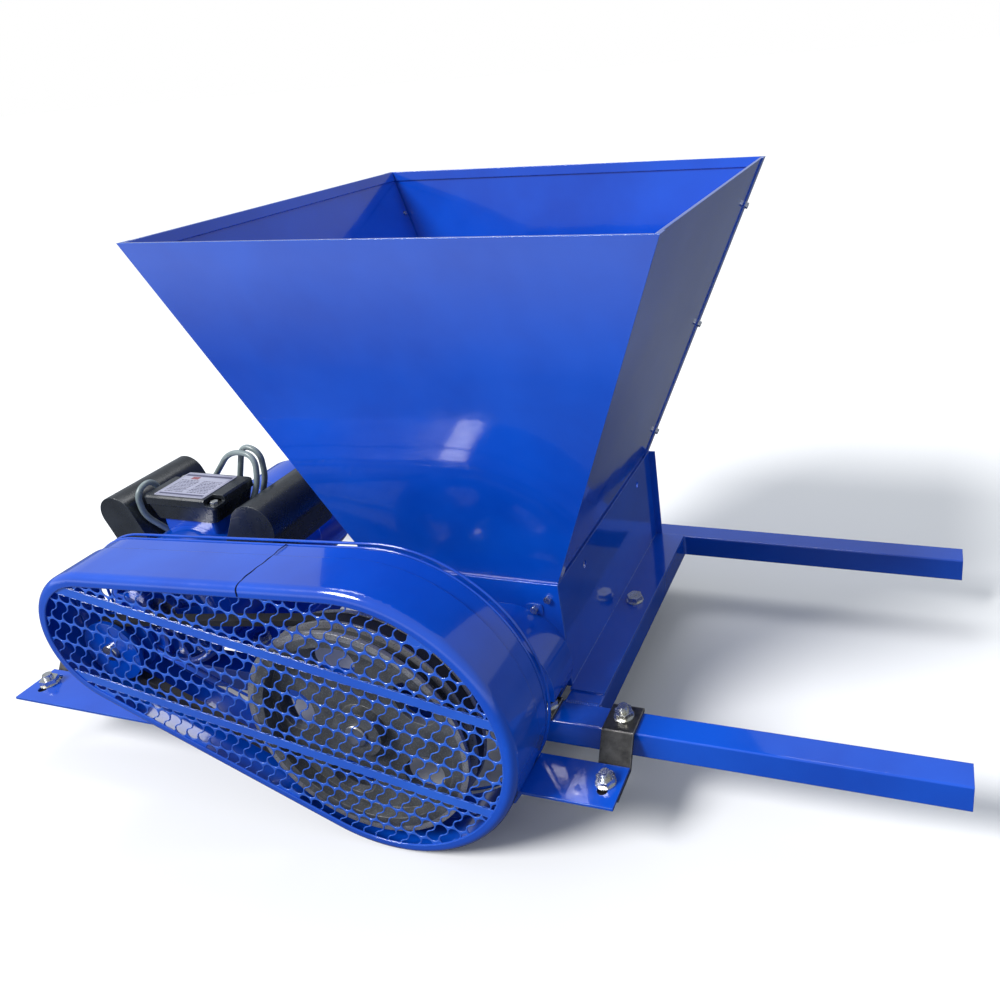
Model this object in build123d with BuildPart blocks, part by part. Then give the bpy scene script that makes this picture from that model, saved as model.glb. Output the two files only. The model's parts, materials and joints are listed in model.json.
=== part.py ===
from build123d import *
from math import acos, atan2, ceil, cos, degrees, hypot, pi, radians, sin, sqrt, tan
import os

# Electric grape crusher: a hopper over two fluted rollers on a tube frame, driven by a belt.
#
# Millimetres. +X runs along the two rails, +Y from the belt guard to the back, +Z up.
# The origin is on the underside of the front rail, at the middle of the crusher body.

os.makedirs("parts", exist_ok=True)

# ---------------------------------------------------------------- driving dimensions
# frame: two rails along X, joined by crossbars along Y
rail_size = 30.0            # square tube
tube_wall = 2.0
rail_pitch = 365.0          # front rail centre to rear rail centre
rail_right = 522.0          # right end of both rails
rail_left = 555.0           # left end of both rails
bar_width = 40.0            # crossbar tube, laid flat
tube_round = 2.0

# crusher body
body_half = 112.0           # half the width over the side plates
body_front = 37.0           # outer face of the front wall
body_back = 350.0           # inner face of the rear wall
body_height = 130.0         # above the rails
sheet = 2.0
flange_sheet = 2.4
flange_lead = 6.0           # how far the foot flange runs past the front wall
rear_lip = 8.0              # how far the rear wall stands past the side plates
hang_hole_r = 4.0
hang_hole_drop = 20.0
hang_hole_pitch = 185.0
hang_hole_y = 200.0         # middle of the two hang holes

# hopper
hopper_half_x = 261.0
hopper_half_y = 221.5
hopper_shift_x = 9.0
hopper_shift_y = 6.0
hopper_height = 373.0
hopper_sheet = 1.5
hopper_clear = 0.2          # skirt inside the body walls
skirt_deep = 26.0           # front and back skirts, which the screws go through
skirt_short = 12.0
hem_width = 12.0
seam_width = 15.0
seam_screw_steps = (0.09, 0.47, 0.855)
seam_screw_sides = (1,)      # only the back corners are screwed; the front ones are spot-welded

# rollers, shafts, bearings and gears
roller_pitch = 104.0        # also the pitch diameter of both gears
roller_r = 49.0
roller_end_gap = 5.0
flute_count = 12
flute_r = 6.5
axis_z = 66.0
shaft_r = 12.5
run_gap = 0.05              # radial running clearance
bearing_depth = 14.0
bearing_plate = 5.0
bearing_boss_r = 24.0
bearing_half = 32.0
bearing_screw_half = 23.0
gear_teeth = 26
gear_width = 16.0
gear_play = 0.5             # total backlash on the pitch circle
gear_gap = 2.0              # front wall to gear
cover_r = 64.5
cover_front = -12.0
cover_tab_turn = 64.0       # degrees up from the outer side to each tab
cover_sheet = 1.5
cover_low = 2.0             # the cover is open underneath, from this height down
cover_rail_gap = 22.0       # its front part stays this far above the rail, over the clamp bolt

# belt drive
pulley_front = -108.0
pulley_r = 122.0
pulley_rim = 36.0
pulley_rim_wall = 6.0       # metal under the grooves
pulley_web = 9.0
pulley_hub_r = 27.0
pulley_hub_length = 46.0
window_count = 5
window_ring = 77.0
window_turn = 31.0          # degrees from +X to the first window
window_radial = 21.0
window_along = 26.0
groove_mouth = 13.4         # 1 mm outside the rim
groove_bottom = 8.2
groove_depth = 11.0
groove_pitch = 15.0
belt_gap = 0.4
belt_height = 8.0
small_pulley_r = 36.0
small_hub_r = 20.0

# belt guard
guard_big = (-31.5, 86.0, 157.3)      # x, z and outer radius of the large end
guard_small = (-329.0, 141.0, 84.0)   # x, z and outer radius of the small end
guard_front = -118.0
guard_back = -47.0
guard_seam = -66.0
guard_overlap = 9.0
guard_sheet = 1.5
guard_lip = 12.3
guard_round = 8.0
mesh_sheet = 1.2
mesh_hole_r = 6.6
mesh_column = 17.0          # along the rows
mesh_row = 13.0             # from row to row, every other one shifted half a column
rib_offset = 56.0
rib_width = 11.0
foot_sheet = 3.0
foot_top = 8.6
foot_front = -88.0
foot_back = -38.0
foot_right_end = 201.0
foot_left_end = 554.0
foot_bolt_y = -60.0
foot_lip = 14.0
foot_bolt_slot = 30.0
strap_width = 34.0
strap_sheet = 4.0
strap_right_x = 184.0
strap_left_x = 533.0
strap_rear = 17.0
strap_slope = 18.0
strap_bend = -17.0          # y of the bend behind the rail's front edge
strap_turn = 2.0            # shift of the bend between the two faces
strap_short = 14.0          # how far the strap stops short of the foot's front edge
rail_bolt_y = 2.0
clamp_x = 101.0
clamp_width = 20.0

# motor
motor_x = -356.0
motor_height = 80.0         # shaft above its feet
motor_r = 75.0
motor_wall = 3.0
motor_front = -26.0         # front face of the front shield
shield_depth = 24.0
housing_length = 136.0
fan_cover_length = 74.0
fan_cover_r = 70.0
motor_shaft_r = 9.5
air_gap = 0.5
shaft_bearing_r = 20.0      # outer radius of the motor's ball bearings
shield_ribs = 12
shield_hollow = 14.0
shield_window = 7.0
shield_screw_r = 58.0
motor_bearing_width = 12.0
winding_space = 28.0        # housing end to stator pack
fan_r = 58.0
fan_cover_sheet = 1.5
fan_cover_round = 12.0
foot_margin = 14.0
foot_web = 34.0
motor_foot_sheet = 4.0
stator_in_r = 38.0
foot_half = 62.5            # half the distance between the foot bolt lines
foot_pitch = 100.0
foot_first = 36.0           # housing front edge to the first foot bolt

# terminal box and capacitors
box_half = 52.0
box_front = 36.0
box_back = 99.0
box_bottom = 193.0
box_top = 224.0
box_wall = 2.5
box_taper = 9.0
lid_depth = 11.0
cover_wall = 2.0
# x, z, radius, lean in degrees, front face y and length of each capacitor cover
capacitor_places = {
    "left": (-449.0, 197.0, 24.0, 20.0, 29.0, 112.0),
    "right": (-264.0, 190.0, 29.0, -28.0, 40.0, 118.0),
}
pedestal_in = 6.0
lid_notch = 15.0
lid_notch_floor = 4.0
lid_screw_in = 7.0
plate_shift = -3.0
plate_length = 72.0
plate_width = 55.0
lead_r = 3.4
gland_r = 6.5
gland_length = 8.0

# fasteners, by thread diameter: width over flats, head height, washer radius
m10 = dict(d=10.0, flats=17.0, head=6.4, washer_r=10.5)
m8 = dict(d=8.0, flats=13.0, head=5.3, washer_r=8.0)
m5 = dict(d=5.0, flats=8.0, head=3.5, washer_r=5.0)
m4 = dict(d=4.0, flats=7.0, head=2.8, washer_r=4.5)
washer_sheet = 1.6
hole_clear = 0.5            # radial clearance of a bolt in its hole

# ---------------------------------------------------------------- derived places
rail_half = rail_size / 2
rear_rail_y = rail_pitch
bar_front = rail_half
bar_back = rear_rail_y - rail_half
body_top = rail_size + body_height
body_mid_y = (body_front + body_back) / 2
flange_front = body_front - flange_lead
drive_x = -roller_pitch / 2
driven_x = roller_pitch / 2
motor_z = rail_size + motor_height
gear_back = body_front - gear_gap
gear_front = gear_back - gear_width
pulley_back = pulley_front + pulley_rim
front_groove_y = pulley_front + (pulley_rim - groove_pitch) / 2
rear_groove_y = front_groove_y + groove_pitch
housing_front = motor_front + shield_depth
housing_back = housing_front + housing_length
shield_back = housing_back + shield_depth
shaft_back = body_back + sheet + bearing_depth + 8.0
foot_bottom = foot_top - foot_sheet


# ---------------------------------------------------------------- helpers
def face_on(y):
    """Plane across Y at y: sketch x is X, sketch y is Z, and it extrudes towards the front."""
    return Plane.XZ.offset(-y)


def save(part, name):
    """Label a finished piece and write its file."""
    part.label = name
    export_step(part, f"parts/{name}.step")


def ring_solid(axis_xz, outer, inner, front, back):
    """Cylinder or ring about an axis along Y, added to the open part."""
    with BuildSketch(face_on(back)) as ring:
        with Locations(axis_xz):
            Circle(outer)
            if inner:
                Circle(inner, mode=Mode.SUBTRACT)
    extrude(ring.sketch, amount=back - front)


def hexagon_up(x, y, z, flats, height):
    """Hexagon prism standing on z, or hanging from it when the height is negative."""
    with BuildSketch(Plane.XY.offset(z)) as outline:
        with Locations((x, y)):
            RegularPolygon(flats / 2, 6, major_radius=False)
    extrude(outline.sketch, amount=height)


def disc_up(x, y, z, radius, height, mode=Mode.ADD):
    """Round prism standing on z, or hanging from it when the height is negative."""
    with BuildSketch(Plane.XY.offset(z)) as outline:
        with Locations((x, y)):
            Circle(radius)
    extrude(outline.sketch, amount=height, mode=mode)


def bolt_down(x, y, seat, size, grip, nut=True, stud=0.0):
    """Vertical bolt with its head on seat, its shank through grip and a nut below."""
    head_top = seat + washer_sheet + size["head"]
    shank = washer_sheet + size["head"] + stud + grip + (size["head"] + 3 if nut else 0)
    disc_up(x, y, seat, size["washer_r"], washer_sheet)
    hexagon_up(x, y, seat + washer_sheet, size["flats"], size["head"])
    disc_up(x, y, head_top + stud, size["d"] / 2, -shank)
    if nut:
        hexagon_up(x, y, seat - grip, size["flats"], -size["head"])


def screw_along(origin, outward, size, grip, hexagon=True):
    """Screw whose head stands on origin, pointing outward, with its shank behind it."""
    seat = Plane(origin=origin, z_dir=outward)
    with BuildSketch(seat) as head:
        if hexagon:
            RegularPolygon(size["flats"] / 2, 6, major_radius=False)
        else:
            Circle(size["flats"] / 2)
    extrude(head.sketch, amount=size["head"])
    with BuildSketch(seat) as shank:
        Circle(size["d"] / 2)
    extrude(shank.sketch, amount=-grip)


def hole_down(x, y, radius, top, depth):
    """Round hole from top downwards."""
    disc_up(x, y, top, radius, -depth, mode=Mode.SUBTRACT)


def hole_y(x, z, radius, front, back):
    """Round hole along Y between two faces."""
    with BuildSketch(face_on(back)) as bore:
        with Locations((x, z)):
            Circle(radius)
    extrude(bore.sketch, amount=back - front, mode=Mode.SUBTRACT)


def round_point(center, radius, angle):
    """Point on a circle in the X-Z plane."""
    return (center[0] + radius * cos(angle), center[1] + radius * sin(angle))


def guard_outline(inset):
    """Face of the guard's outline: two circles and their tangents, moved inwards by inset."""
    with BuildSketch() as outline:
        for x, z, radius in (guard_big, guard_small):
            with Locations((x, z)):
                Circle(radius - inset)
        make_hull()
    return outline.sketch


def guard_block(inset, front, back, mode=Mode.ADD):
    """Solid of the guard's outline between two faces, moved inwards by inset."""
    with BuildSketch(face_on(back)) as outline:
        add(guard_outline(inset))
    extrude(outline.sketch, amount=back - front, mode=mode)


def tube_between(start, end, width, height, wall, rounding):
    """Square or flat tube from start to end along one axis, its underside at the z of start."""
    run = Vector(*end) - Vector(*start)
    side = Vector(0, 0, 1).cross(run.normalized())
    section = Plane(origin=Vector(*start) + Vector(0, 0, height / 2), x_dir=side, z_dir=run)
    with BuildSketch(section) as profile:
        RectangleRounded(width, height, rounding)
        RectangleRounded(width - 2 * wall, height - 2 * wall, rounding / 2, mode=Mode.SUBTRACT)
    extrude(profile.sketch, amount=run.length)


# ---------------------------------------------------------------- frame
strap_xs = (strap_right_x, -strap_left_x)
m10_hole = m10["d"] / 2 + hole_clear

with BuildPart() as front_rail:
    tube_between((-rail_left, 0, 0), (rail_right, 0, 0), rail_size, rail_size, tube_wall, tube_round)
    for x in strap_xs:
        hole_down(x, rail_bolt_y, m10_hole, rail_size, tube_wall)
    hole_down(clamp_x, rail_bolt_y, m10_hole, rail_size, tube_wall)
save(front_rail.part, "front_rail")

with BuildPart() as rear_rail:
    tube_between((-rail_left, rear_rail_y, 0), (rail_right, rear_rail_y, 0),
                 rail_size, rail_size, tube_wall, tube_round)
save(rear_rail.part, "rear_rail")

# crossbar centres: two under the body's foot flanges, two under the motor's feet
body_bar_x = body_half + bar_width / 2
foot_ys = [housing_front + foot_first + i * foot_pitch for i in (0, 1)]
for name, x in (("body_crossbar_right", body_bar_x), ("body_crossbar_left", -body_bar_x)):
    with BuildPart() as crossbar:
        tube_between((x, bar_front, 0), (x, bar_back, 0), bar_width, rail_size, tube_wall, tube_round)
        hole_down(x, body_mid_y, m10_hole, rail_size, rail_size)
    save(crossbar.part, name)

foot_xs = (motor_x - foot_half, motor_x + foot_half)
with BuildPart() as motor_crossbars:
    for x in foot_xs:
        tube_between((x, bar_front, 0), (x, bar_back, 0), bar_width, rail_size, tube_wall, tube_round)
        for y in foot_ys:
            hole_down(x, y, m10_hole, rail_size, rail_size)
save(motor_crossbars.part, "motor_crossbars")

# ---------------------------------------------------------------- crusher body
hang_z = body_top - hang_hole_drop
skirt_screw_z = body_top - skirt_deep / 2 - 5
skirt_screw_xs = (-body_half + 13, body_half - 13)

for name, side in (("side_plate_right", 1), ("side_plate_left", -1)):
    wall_x = side * (body_half - sheet / 2)
    flange_x = side * (body_half + bar_width / 2 - sheet / 2)
    with BuildPart() as side_plate:
        with BuildSketch(Plane.XY.offset(rail_size)):
            with Locations((wall_x, (body_front + sheet + body_back) / 2)):
                Rectangle(sheet, body_back - body_front - sheet)
        extrude(amount=body_height)
        with BuildSketch(Plane.XY.offset(rail_size)):
            with Locations((flange_x, (flange_front + body_back) / 2)):
                Rectangle(bar_width + sheet, body_back - flange_front)
            with Locations((wall_x - side * sheet, flange_front)):
                Rectangle(3 * sheet, 2 * (flange_lead + sheet), mode=Mode.SUBTRACT)
        extrude(amount=flange_sheet)
        with BuildSketch(Plane.YZ.offset(-body_half - 1)):
            with Locations(*[(hang_hole_y + s * hang_hole_pitch / 2, hang_z) for s in (-1, 1)]):
                Circle(hang_hole_r)
        extrude(amount=2 * body_half + 2, mode=Mode.SUBTRACT)
        hole_down(side * body_bar_x, body_mid_y, m10_hole, rail_size + flange_sheet, flange_sheet)
    save(side_plate.part, name)

bearing_spots = [(x + i * bearing_screw_half, axis_z + j * bearing_screw_half)
                 for x in (drive_x, driven_x) for i in (-1, 1) for j in (-1, 1)]
m8_hole = m8["d"] / 2 + hole_clear
m5_hole = m5["d"] / 2 + hole_clear
tab_r = cover_r + 5
cover_tabs = [
    round_point((driven_x, axis_z), tab_r, radians(cover_tab_turn)),
    (0, axis_z + tab_r),
    round_point((drive_x, axis_z), tab_r, pi - radians(cover_tab_turn)),
]

with BuildPart() as front_wall:
    with BuildSketch(face_on(body_front + sheet)):
        with Locations((0, rail_size + body_height / 2)):
            Rectangle(2 * body_half, body_height)
        with Locations((drive_x, axis_z), (driven_x, axis_z)):
            Circle(shaft_r + 3, mode=Mode.SUBTRACT)
        with Locations(*bearing_spots):
            Circle(m8_hole, mode=Mode.SUBTRACT)
        with Locations(*cover_tabs):
            Circle(m5_hole, mode=Mode.SUBTRACT)
        with Locations(*[(x, skirt_screw_z) for x in skirt_screw_xs]):
            Circle(m5_hole, mode=Mode.SUBTRACT)
    extrude(amount=sheet)
save(front_wall.part, "front_wall")

with BuildPart() as rear_wall:
    with BuildSketch(face_on(body_back + sheet)):
        with Locations((0, rail_size + body_height / 2)):
            Rectangle(2 * (body_half + rear_lip), body_height)
        with Locations((drive_x, axis_z), (driven_x, axis_z)):
            Circle(shaft_r + 3, mode=Mode.SUBTRACT)
        with Locations(*bearing_spots):
            Circle(m8_hole, mode=Mode.SUBTRACT)
        with Locations(*[(x, skirt_screw_z) for x in skirt_screw_xs]):
            Circle(m5_hole, mode=Mode.SUBTRACT)
    extrude(amount=sheet)
save(rear_wall.part, "rear_wall")

with BuildPart() as flange_bolts:
    for x in (-body_bar_x, body_bar_x):
        bolt_down(x, body_mid_y, rail_size + flange_sheet, m10, rail_size + flange_sheet)
save(flange_bolts.part, "flange_bolts")

# ---------------------------------------------------------------- hopper
neck_x = body_half - sheet - hopper_clear
neck_front = body_front + sheet + hopper_clear
neck_back = body_back - hopper_clear
neck_half_y = (neck_back - neck_front) / 2
neck_mid_y = (neck_back + neck_front) / 2
hopper_top = body_top + hopper_height
side_inset = 2.1 * hopper_sheet     # the left and right walls stop short of the front and back ones
hem_inset = 2.6 * hopper_sheet


def corner_point(side_x, side_y, share):
    """Point on a slanted corner line of the hopper's outer skin: 0 at the neck, 1 at the rim."""
    low = Vector(side_x * neck_x, neck_mid_y + side_y * neck_half_y, body_top)
    high = Vector(hopper_shift_x + side_x * hopper_half_x,
                  body_mid_y + hopper_shift_y + side_y * hopper_half_y, hopper_top)
    return low + (high - low) * share


def wall_corners(side_x, side_y):
    """The two corners at the ends of a wall, as sides of the hopper."""
    return [(-1, side_y), (1, side_y)] if side_y else [(side_x, -1), (side_x, 1)]


def wall_plane(side_x, side_y):
    """Outer plane of one wall: x along the wall, y up the slope, normal to the outside."""
    first, second = wall_corners(side_x, side_y)
    along = Vector(-side_y, side_x, 0)
    low = (corner_point(*first, 0) + corner_point(*second, 0)) / 2
    high = (corner_point(*first, 1) + corner_point(*second, 1)) / 2
    slope = high - low
    slope = slope - along * slope.dot(along)
    return Plane(origin=low, x_dir=along, z_dir=along.cross(slope))


def edge_points(sides, corner, inset, low, high):
    """Two points on a wall's slanted edge, between two shares of its height, moved in by inset."""
    plane = wall_plane(*sides)
    points = [plane.to_local_coords(corner_point(*corner, share)) for share in (low, high)]
    inward = 1 if points[0].X < 0 else -1
    return [(p.X + inward * inset, p.Y) for p in points]


def wall_points(sides, inset, low, high):
    """Outline of a wall in its own plane, between two shares of its height."""
    first, second = wall_corners(*sides)
    (a, b) = edge_points(sides, first, inset, low, high)
    (d, c) = edge_points(sides, second, inset, low, high)
    return [a, b, c, d]


def seam_spots(side_x, side_y):
    """Where the seam screws of one corner go through the side wall's outer plane."""
    plane = wall_plane(side_x, 0)
    spots = []
    for step in seam_screw_steps:
        low, _ = edge_points((side_x, 0), (side_x, side_y), seam_width * 0.6, step, 1)
        spots.append(plane.from_local_coords((low[0], low[1], 0)))
    return spots


def seam_holes(side_x, side_y):
    """Cut the holes of one corner's seam screws in the open part."""
    normal = wall_plane(side_x, 0).z_dir
    for spot in seam_spots(side_x, side_y):
        with BuildSketch(Plane(origin=spot + normal * 3 * hopper_sheet, z_dir=normal)) as bore:
            Circle(m5_hole)
        extrude(bore.sketch, amount=-6 * hopper_sheet, mode=Mode.SUBTRACT)


hopper_walls = {
    "hopper_front": (0, -1),
    "hopper_back": (0, 1),
    "hopper_left": (-1, 0),
    "hopper_right": (1, 0),
}
over = 4 * hopper_sheet / hopper_height     # how far a wall is drawn past its ends, then cut level
hem_share = 1 - hem_width / hopper_height

for name, sides in hopper_walls.items():
    side_x, side_y = sides
    plane = wall_plane(*sides)
    with BuildPart() as hopper_wall:
        with BuildSketch(plane):
            Polygon(*wall_points(sides, -hopper_sheet if side_y else side_inset, -over, 1 + over), align=None)
        extrude(amount=-hopper_sheet)
        # rim hem folded down against the inner face
        with BuildSketch(plane.offset(-hopper_sheet)):
            Polygon(*wall_points(sides, hem_inset if side_y else side_inset, hem_share, 1 + over), align=None)
        extrude(amount=-hopper_sheet)
        if side_y:
            # corner flanges back over the side walls
            for corner_x in (-1, 1):
                near = edge_points((corner_x, 0), (corner_x, side_y), 0, -over, 1 + over)
                far = edge_points((corner_x, 0), (corner_x, side_y), seam_width, -over, 1 + over)
                with BuildSketch(wall_plane(corner_x, 0)):
                    Polygon(near[0], near[1], far[1], far[0], align=None)
                extrude(amount=hopper_sheet)
                if side_y in seam_screw_sides:
                    seam_holes(corner_x, side_y)
        else:
            for corner_y in seam_screw_sides:
                seam_holes(side_x, corner_y)
        split(bisect_by=Plane.XY.offset(hopper_top), keep=Keep.BOTTOM)
        split(bisect_by=Plane.XY.offset(body_top), keep=Keep.TOP)
        # skirt down inside the body wall
        with BuildSketch(Plane.XY.offset(body_top)):
            if side_y:
                with Locations((0, neck_mid_y + side_y * (neck_half_y - hopper_sheet / 2))):
                    Rectangle(2 * neck_x, hopper_sheet)
            else:
                with Locations((side_x * (neck_x - hopper_sheet / 2), neck_mid_y)):
                    Rectangle(hopper_sheet, 2 * (neck_half_y - side_inset))
        extrude(amount=-(skirt_deep if side_y else skirt_short))
        if side_y:
            for x in skirt_screw_xs:
                hole_y(x, skirt_screw_z, m5_hole, neck_front - 1, neck_back + 1)
    save(hopper_wall.part, name)

# ---------------------------------------------------------------- rollers, shafts and bearings
bearing_seats = {"front": body_front + sheet, "rear": body_back + sheet}
roller_front = bearing_seats["front"] + bearing_depth + roller_end_gap
roller_back = body_back - roller_end_gap
roller_xs = {"drive": drive_x, "driven": driven_x}

for name, x in roller_xs.items():
    with BuildPart() as roller:
        with BuildSketch(face_on(roller_back)):
            with Locations((x, axis_z)):
                Circle(roller_r)
                with PolarLocations(roller_r + 1.5, flute_count):
                    Circle(flute_r, mode=Mode.SUBTRACT)
                Circle(shaft_r, mode=Mode.SUBTRACT)
        extrude(amount=roller_back - roller_front)
    save(roller.part, f"{name}_roller")

shaft_fronts = {"drive": pulley_front - 1.0, "driven": gear_front - 2.0}
for name, x in roller_xs.items():
    with BuildPart() as roller_shaft:
        ring_solid((x, axis_z), shaft_r, 0, shaft_fronts[name], shaft_back)
        chamfer(roller_shaft.edges().filter_by(GeomType.CIRCLE), 1.2)
    save(roller_shaft.part, f"{name}_shaft")

for end, seat in bearing_seats.items():
    for name, x in roller_xs.items():
        with BuildPart() as bearing:
            with BuildSketch(face_on(seat + bearing_plate)):
                with Locations((x, axis_z)):
                    RectangleRounded(2 * bearing_half, 2 * bearing_half, 9)
            extrude(amount=bearing_plate)
            ring_solid((x, axis_z), bearing_boss_r, 0, seat, seat + bearing_depth)
            hole_y(x, axis_z, shaft_r + run_gap, seat - 1, seat + bearing_depth + 1)
            for i in (-1, 1):
                for j in (-1, 1):
                    hole_y(x + i * bearing_screw_half, axis_z + j * bearing_screw_half,
                           m8_hole, seat - 1, seat + bearing_plate + 1)
        save(bearing.part, f"{end}_{name}_bearing")

with BuildPart() as bearing_screws:
    for x, z in bearing_spots:
        for seat in bearing_seats.values():
            screw_along((x, seat + bearing_plate, z), (0, 1, 0), m8, bearing_plate + sheet)
save(bearing_screws.part, "bearing_screws")


def gear_outline(center, half_turn):
    """Outline of a straight-cut gear whose tooth or gap points along +X."""
    module = roller_pitch / gear_teeth
    pitch_r = roller_pitch / 2
    pressure = radians(20)
    base_r = pitch_r * cos(pressure)
    tip_r = pitch_r + module
    root_r = pitch_r - 1.25 * module
    half_pitch_angle = pi / (2 * gear_teeth) - gear_play / (2 * pitch_r)
    roll = tan(pressure) - pressure

    def flank(radius):
        if radius <= base_r:
            return half_pitch_angle + roll
        angle = sqrt((radius / base_r) ** 2 - 1)
        return half_pitch_angle + roll - (angle - atan2(angle, 1))

    radii = [root_r, base_r + 0.2, pitch_r, pitch_r + module / 2, tip_r]
    points = []
    for tooth in range(gear_teeth):
        middle = 2 * pi * (tooth + (0.5 if half_turn else 0)) / gear_teeth
        rising = [(r, middle - flank(r)) for r in radii]
        falling = [(r, middle + flank(r)) for r in reversed(radii)]
        for r, a in rising + falling:
            points.append((center[0] + r * cos(a), center[1] + r * sin(a)))
    return points


for name, x in roller_xs.items():
    with BuildPart() as gear:
        with BuildSketch(face_on(gear_back)):
            Polygon(*gear_outline((x, axis_z), name == "driven"), align=None)
            with Locations((x, axis_z)):
                Circle(shaft_r, mode=Mode.SUBTRACT)
                with PolarLocations(31, 4):
                    Circle(8, mode=Mode.SUBTRACT)
        extrude(amount=gear_width)
    save(gear.part, f"{name}_gear")

cover_depth = body_front - cover_front
cover_inner_r = cover_r - cover_sheet

with BuildPart() as gear_cover:
    with BuildSketch(face_on(body_front)):
        with Locations((0, axis_z)):
            SlotCenterToCenter(roller_pitch, 2 * cover_r)
    extrude(amount=cover_depth)
    with BuildSketch(face_on(body_front)):
        with Locations((0, axis_z)):
            SlotCenterToCenter(roller_pitch, 2 * cover_inner_r)
    extrude(amount=cover_depth - cover_sheet, mode=Mode.SUBTRACT)
    # tabs on the front wall
    with BuildSketch(face_on(body_front)):
        with Locations(*cover_tabs):
            RectangleRounded(18, 13, 3)
        with Locations((0, axis_z)):
            SlotCenterToCenter(roller_pitch, 2 * cover_inner_r, mode=Mode.SUBTRACT)
        with Locations(*cover_tabs):
            Circle(m5_hole, mode=Mode.SUBTRACT)
    extrude(amount=cover_sheet)
    hole_y(drive_x, axis_z, shaft_r + 3, cover_front - 1, cover_front + cover_sheet + 1)
    # open underneath, and cut away over the front rail
    with BuildSketch(Plane.XY.offset(cover_low)):
        Rectangle(4 * cover_r + roller_pitch, 4 * body_front)
    extrude(amount=-2 * cover_r, mode=Mode.SUBTRACT)
    with BuildSketch(Plane.XY.offset(rail_size + cover_rail_gap)):
        with Locations((0, cover_front)):
            Rectangle(4 * cover_r + roller_pitch, 2 * (rail_half + 0.5 - cover_front))
    extrude(amount=-2 * cover_r, mode=Mode.SUBTRACT)
save(gear_cover.part, "gear_cover")

with BuildPart() as body_screws:
    for side_x in (-1, 1):
        outward = wall_plane(side_x, 0).z_dir
        for side_y in seam_screw_sides:
            for spot in seam_spots(side_x, side_y):
                screw_along(spot + outward * hopper_sheet, outward, m5, 3 * hopper_sheet, hexagon=False)
    for x in skirt_screw_xs:
        screw_along((x, body_front, skirt_screw_z), (0, -1, 0), m5, 3 * sheet, hexagon=False)
        screw_along((x, body_back + sheet, skirt_screw_z), (0, 1, 0), m5, 3 * sheet, hexagon=False)
    for x, z in cover_tabs:
        screw_along((x, body_front - cover_sheet, z), (0, -1, 0), m5, cover_sheet + sheet, hexagon=False)
save(body_screws.part, "body_screws")

# ---------------------------------------------------------------- belt drive
def cut_groove(center, radius, y_mid):
    """Cut one V groove round a pulley whose axis runs along Y."""
    with BuildSketch(Plane.XY.offset(center[1])) as groove:
        with Locations((center[0], y_mid)):
            Polygon((radius + 1, -groove_mouth / 2), (radius + 1, groove_mouth / 2),
                    (radius - groove_depth, groove_bottom / 2), (radius - groove_depth, -groove_bottom / 2),
                    align=None)
    revolve(groove.sketch, axis=Axis((center[0], 0, center[1]), (0, 1, 0)), mode=Mode.SUBTRACT)


big_center = (drive_x, axis_z)
small_center = (motor_x, motor_z)
web_middle = (pulley_front + pulley_back) / 2
hub_front = pulley_front + 2
rim_in_r = pulley_r - groove_depth - pulley_rim_wall

with BuildPart() as large_pulley:
    ring_solid((drive_x, axis_z), pulley_r, rim_in_r, pulley_front, pulley_back)
    ring_solid((drive_x, axis_z), rim_in_r + 1, 0, web_middle - pulley_web / 2, web_middle + pulley_web / 2)
    ring_solid((drive_x, axis_z), pulley_hub_r, 0, hub_front, hub_front + pulley_hub_length)
    # oval windows through the web
    with BuildSketch(face_on(web_middle + pulley_web)):
        with Locations((drive_x, axis_z)):
            with PolarLocations(window_ring, window_count, start_angle=window_turn):
                Ellipse(window_radial, window_along)
    extrude(amount=2 * pulley_web, mode=Mode.SUBTRACT)
    hole_y(drive_x, axis_z, shaft_r, pulley_front - 1, hub_front + pulley_hub_length + 1)
    for y in (front_groove_y, rear_groove_y):
        cut_groove(big_center, pulley_r, y)
    # set screw hole in the hub, behind the rim
    screw_y = pulley_back + 5
    with BuildSketch(Plane.XY.offset(axis_z)):
        with Locations((drive_x, screw_y)):
            Circle(m8["d"] / 2)
    extrude(amount=2 * pulley_hub_r, mode=Mode.SUBTRACT)
save(large_pulley.part, "large_pulley")

with BuildPart() as large_pulley_screw:
    with BuildSketch(Plane.XY.offset(axis_z + shaft_r)):
        with Locations((drive_x, screw_y)):
            Circle(m8["d"] / 2)
    extrude(amount=pulley_hub_r - shaft_r + 2)
save(large_pulley_screw.part, "large_pulley_screw")

small_front = rear_groove_y - 11
small_back = rear_groove_y + 11
small_hub_back = small_back + 14
with BuildPart() as small_pulley:
    ring_solid((motor_x, motor_z), small_pulley_r, 0, small_front, small_back)
    ring_solid((motor_x, motor_z), small_hub_r, 0, small_back, small_hub_back)
    hole_y(motor_x, motor_z, motor_shaft_r, small_front - 1, small_hub_back + 1)
    cut_groove(small_center, small_pulley_r, rear_groove_y)
save(small_pulley.part, "small_pulley")

belt_out = 0.8              # belt's back below the pulley's rim
belt_mid = belt_out + belt_height / 2


def belt_half(depth):
    """Half the belt's width at a depth below the pulley's rim, clear of the groove."""
    share = (depth + 1) / (groove_depth + 1)
    return groove_mouth / 2 + share * (groove_bottom - groove_mouth) / 2 - belt_gap


belt_big = pulley_r - belt_mid
belt_small = small_pulley_r - belt_mid
belt_run = hypot(motor_x - drive_x, motor_z - axis_z)
belt_tilt = atan2(motor_z - axis_z, motor_x - drive_x)
belt_wrap = acos((belt_big - belt_small) / belt_run)
low_angle = belt_tilt + belt_wrap
high_angle = belt_tilt - belt_wrap

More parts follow.
